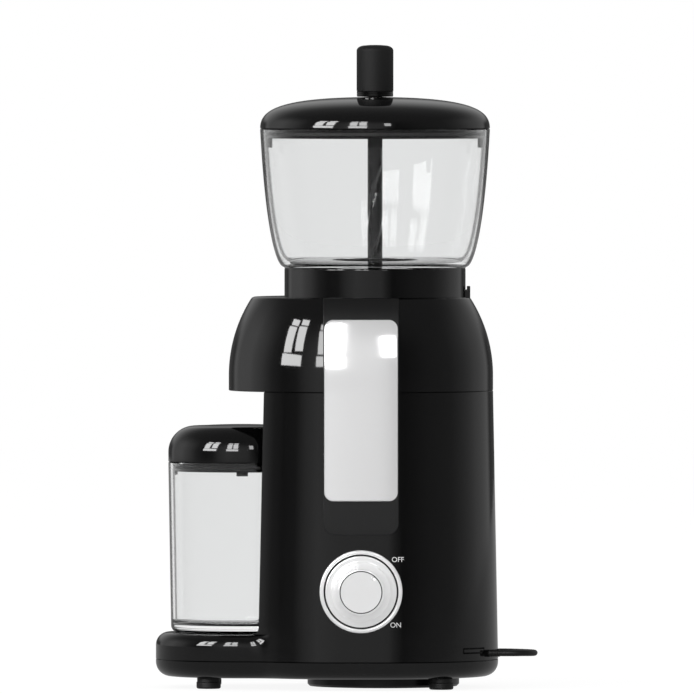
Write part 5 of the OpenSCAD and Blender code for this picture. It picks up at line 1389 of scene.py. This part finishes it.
class GRINDER_OT_jar(bpy.types.Operator):
    """Turn the clear jar"""

    bl_idname = "grinder.jar"
    bl_label = "Jar"

    def execute(self, context):
        v = settings().vessel
        r, foot, wall, floor = v.jar_r, v.jar_foot_r, v.jar_wall, v.jar_floor
        z0, z1, edge, soft, dish, slope = Z_TRAY + HAIR, Z_JAR_RIM - HAIR, 0.004, 0.0004, 0.0012, 0.0078
        inner = foot - wall + (r - foot) / (Z_JAR_RIM - Z_TRAY) * floor
        profile = [(0, z0 + dish), (foot - slope - dish, z0 + dish), (foot - slope, z0), (foot - edge, z0)]
        profile += corner((foot - edge, z0 + edge), edge, -90, 0, 8)[1:]
        profile += [(r, z1 - soft), (r - soft, z1), (r - wall + soft, z1), (r - wall, z1 - soft)]
        profile += list(reversed(corner((inner - edge, z0 + floor + edge), edge, -90, 0, 8))) + [(0, z0 + floor)]
        jar = lathe("clear_jar", profile, JAR_AXIS, steps=160)
        dress(jar, "jar", ["jar"], "clear_plastic", 40)
        return {"FINISHED"}


class GRINDER_OT_jar_lid(bpy.types.Operator):
    """Turn the domed jar lid with its skirt and lugs"""

    bl_idname = "grinder.jar_lid"
    bl_label = "Jar lid"

    def dome(self, foot, flat_r, bend, top, steps):
        """The dome's section from its foot round the shoulder and over the slight crown to its middle."""
        drop, crown, crown_steps, turn = 0.0172, 0.001, 8, 86
        shares = [1 - k / crown_steps for k in range(1, crown_steps + 1)]
        return ([foot] + corner((flat_r, Z_JAR_TOP - drop), bend, 0, turn, steps)
                + [(flat_r * share, top - crown * share**2) for share in shares])

    def execute(self, context):
        v = settings().vessel
        r, wall, bend, depth, play = v.jar_r, v.lid_wall, 0.0163, 0.0056, 0.0007
        lug_reach, lug_half = 0.0025, 0.0036
        flat_r, skirt = r - bend, r - v.jar_wall - play
        outer = self.dome((r, Z_JAR_RIM + LID_EDGE), flat_r, bend, Z_JAR_TOP, 16)
        inner = self.dome((r - wall, Z_JAR_RIM + wall), flat_r, bend - wall, Z_JAR_TOP - wall, 12)
        profile = list(reversed(outer)) + skirt_profile(r, skirt, Z_JAR_RIM, depth, wall) + inner
        lid = lathe("jar_dome", profile, JAR_AXIS, steps=160)
        merge(lid, *lugs(JAR_AXIS, skirt, lug_reach, lug_half, low("jar_lid").z, Z_JAR_RIM - depth))
        dress(lid, "jar_lid", ["jar_lid"], "gloss_black")
        paint(["jar_seal"], "black_seal")
        return {"FINISHED"}


class GRINDER_OT_works(bpy.types.Operator):
    """Finish the motor, the gears, the burrs and the other works inside"""

    bl_idname = "grinder.works"
    bl_label = "Works"

    def execute(self, context):
        paint(["spindle", "spindle_bearings", "feed_auger", "auger_nut", "deck_standoffs", "deck_screws",
               "cup_screws", "motor_stator", "motor_bearings", "motor_screws", "rotor_shaft", "rotor_core"],
              "turned_steel")
        paint(["inner_burr", "outer_burr"], "burr_iron")
        paint(["grinder_cup", "gear_deck", "mill_deck", "motor_upper_frame", "motor_lower_frame"], "cast_alloy")
        paint(["field_coils", "commutator"], "wound_copper")
        paint(["motor_pinion"], "cut_brass")
        paint(["spindle_gear", "outlet_chute"], "white_nylon")
        paint(["chamber_seal"], "black_seal")
        paint(["rotary_switch", "brush_holders", "carbon_brushes"], "brown_resin")
        paint(["motor_fan"], "matte_black")
        paint(["wiring"], "rubbery")
        return {"FINISHED"}


STEPS = ("studio", "cord", "base", "column", "head", "side", "dial", "hopper", "hopper_lid", "stirrer", "jar",
         "jar_lid", "works")


class GRINDER_PT_panel(bpy.types.Panel):
    """Settings and steps of the nut-butter grinder"""

    bl_idname = "GRINDER_PT_panel"
    bl_label = "Nut Butter Grinder"
    bl_space_type = "VIEW_3D"
    bl_region_type = "UI"
    bl_category = "Grinder"

    def draw(self, context):
        column = self.layout.column()
        for step in STEPS:
            column.operator("grinder." + step)
        grinder = context.scene.grinder
        for group in (grinder.shell, grinder.panel, grinder.vessel, grinder.cord, grinder.colours, grinder.studio):
            box = self.layout.box()
            for key in group.__annotations__:
                box.prop(group, key)


CLASSES = (ShellSizes, PanelSizes, VesselSizes, CordSizes, Colours, StudioSettings, GrinderSettings,
           GRINDER_OT_studio, GRINDER_OT_cord, GRINDER_OT_base, GRINDER_OT_column, GRINDER_OT_head,
           GRINDER_OT_side, GRINDER_OT_dial, GRINDER_OT_hopper, GRINDER_OT_hopper_lid, GRINDER_OT_stirrer,
           GRINDER_OT_jar, GRINDER_OT_jar_lid, GRINDER_OT_works, GRINDER_PT_panel)


def register():
    """Registers the settings, the steps and the panel."""
    for item in CLASSES:
        bpy.utils.register_class(item)
    bpy.types.Scene.grinder = PointerProperty(type=GrinderSettings)


def unregister():
    """Takes the settings, the steps and the panel off again."""
    del bpy.types.Scene.grinder
    for item in reversed(CLASSES):
        bpy.utils.unregister_class(item)


def main():
    """Builds the grinder over its frame."""
    register()
    for step in STEPS:
        getattr(bpy.ops.grinder, step)()


if __name__ == "__main__":
    main()
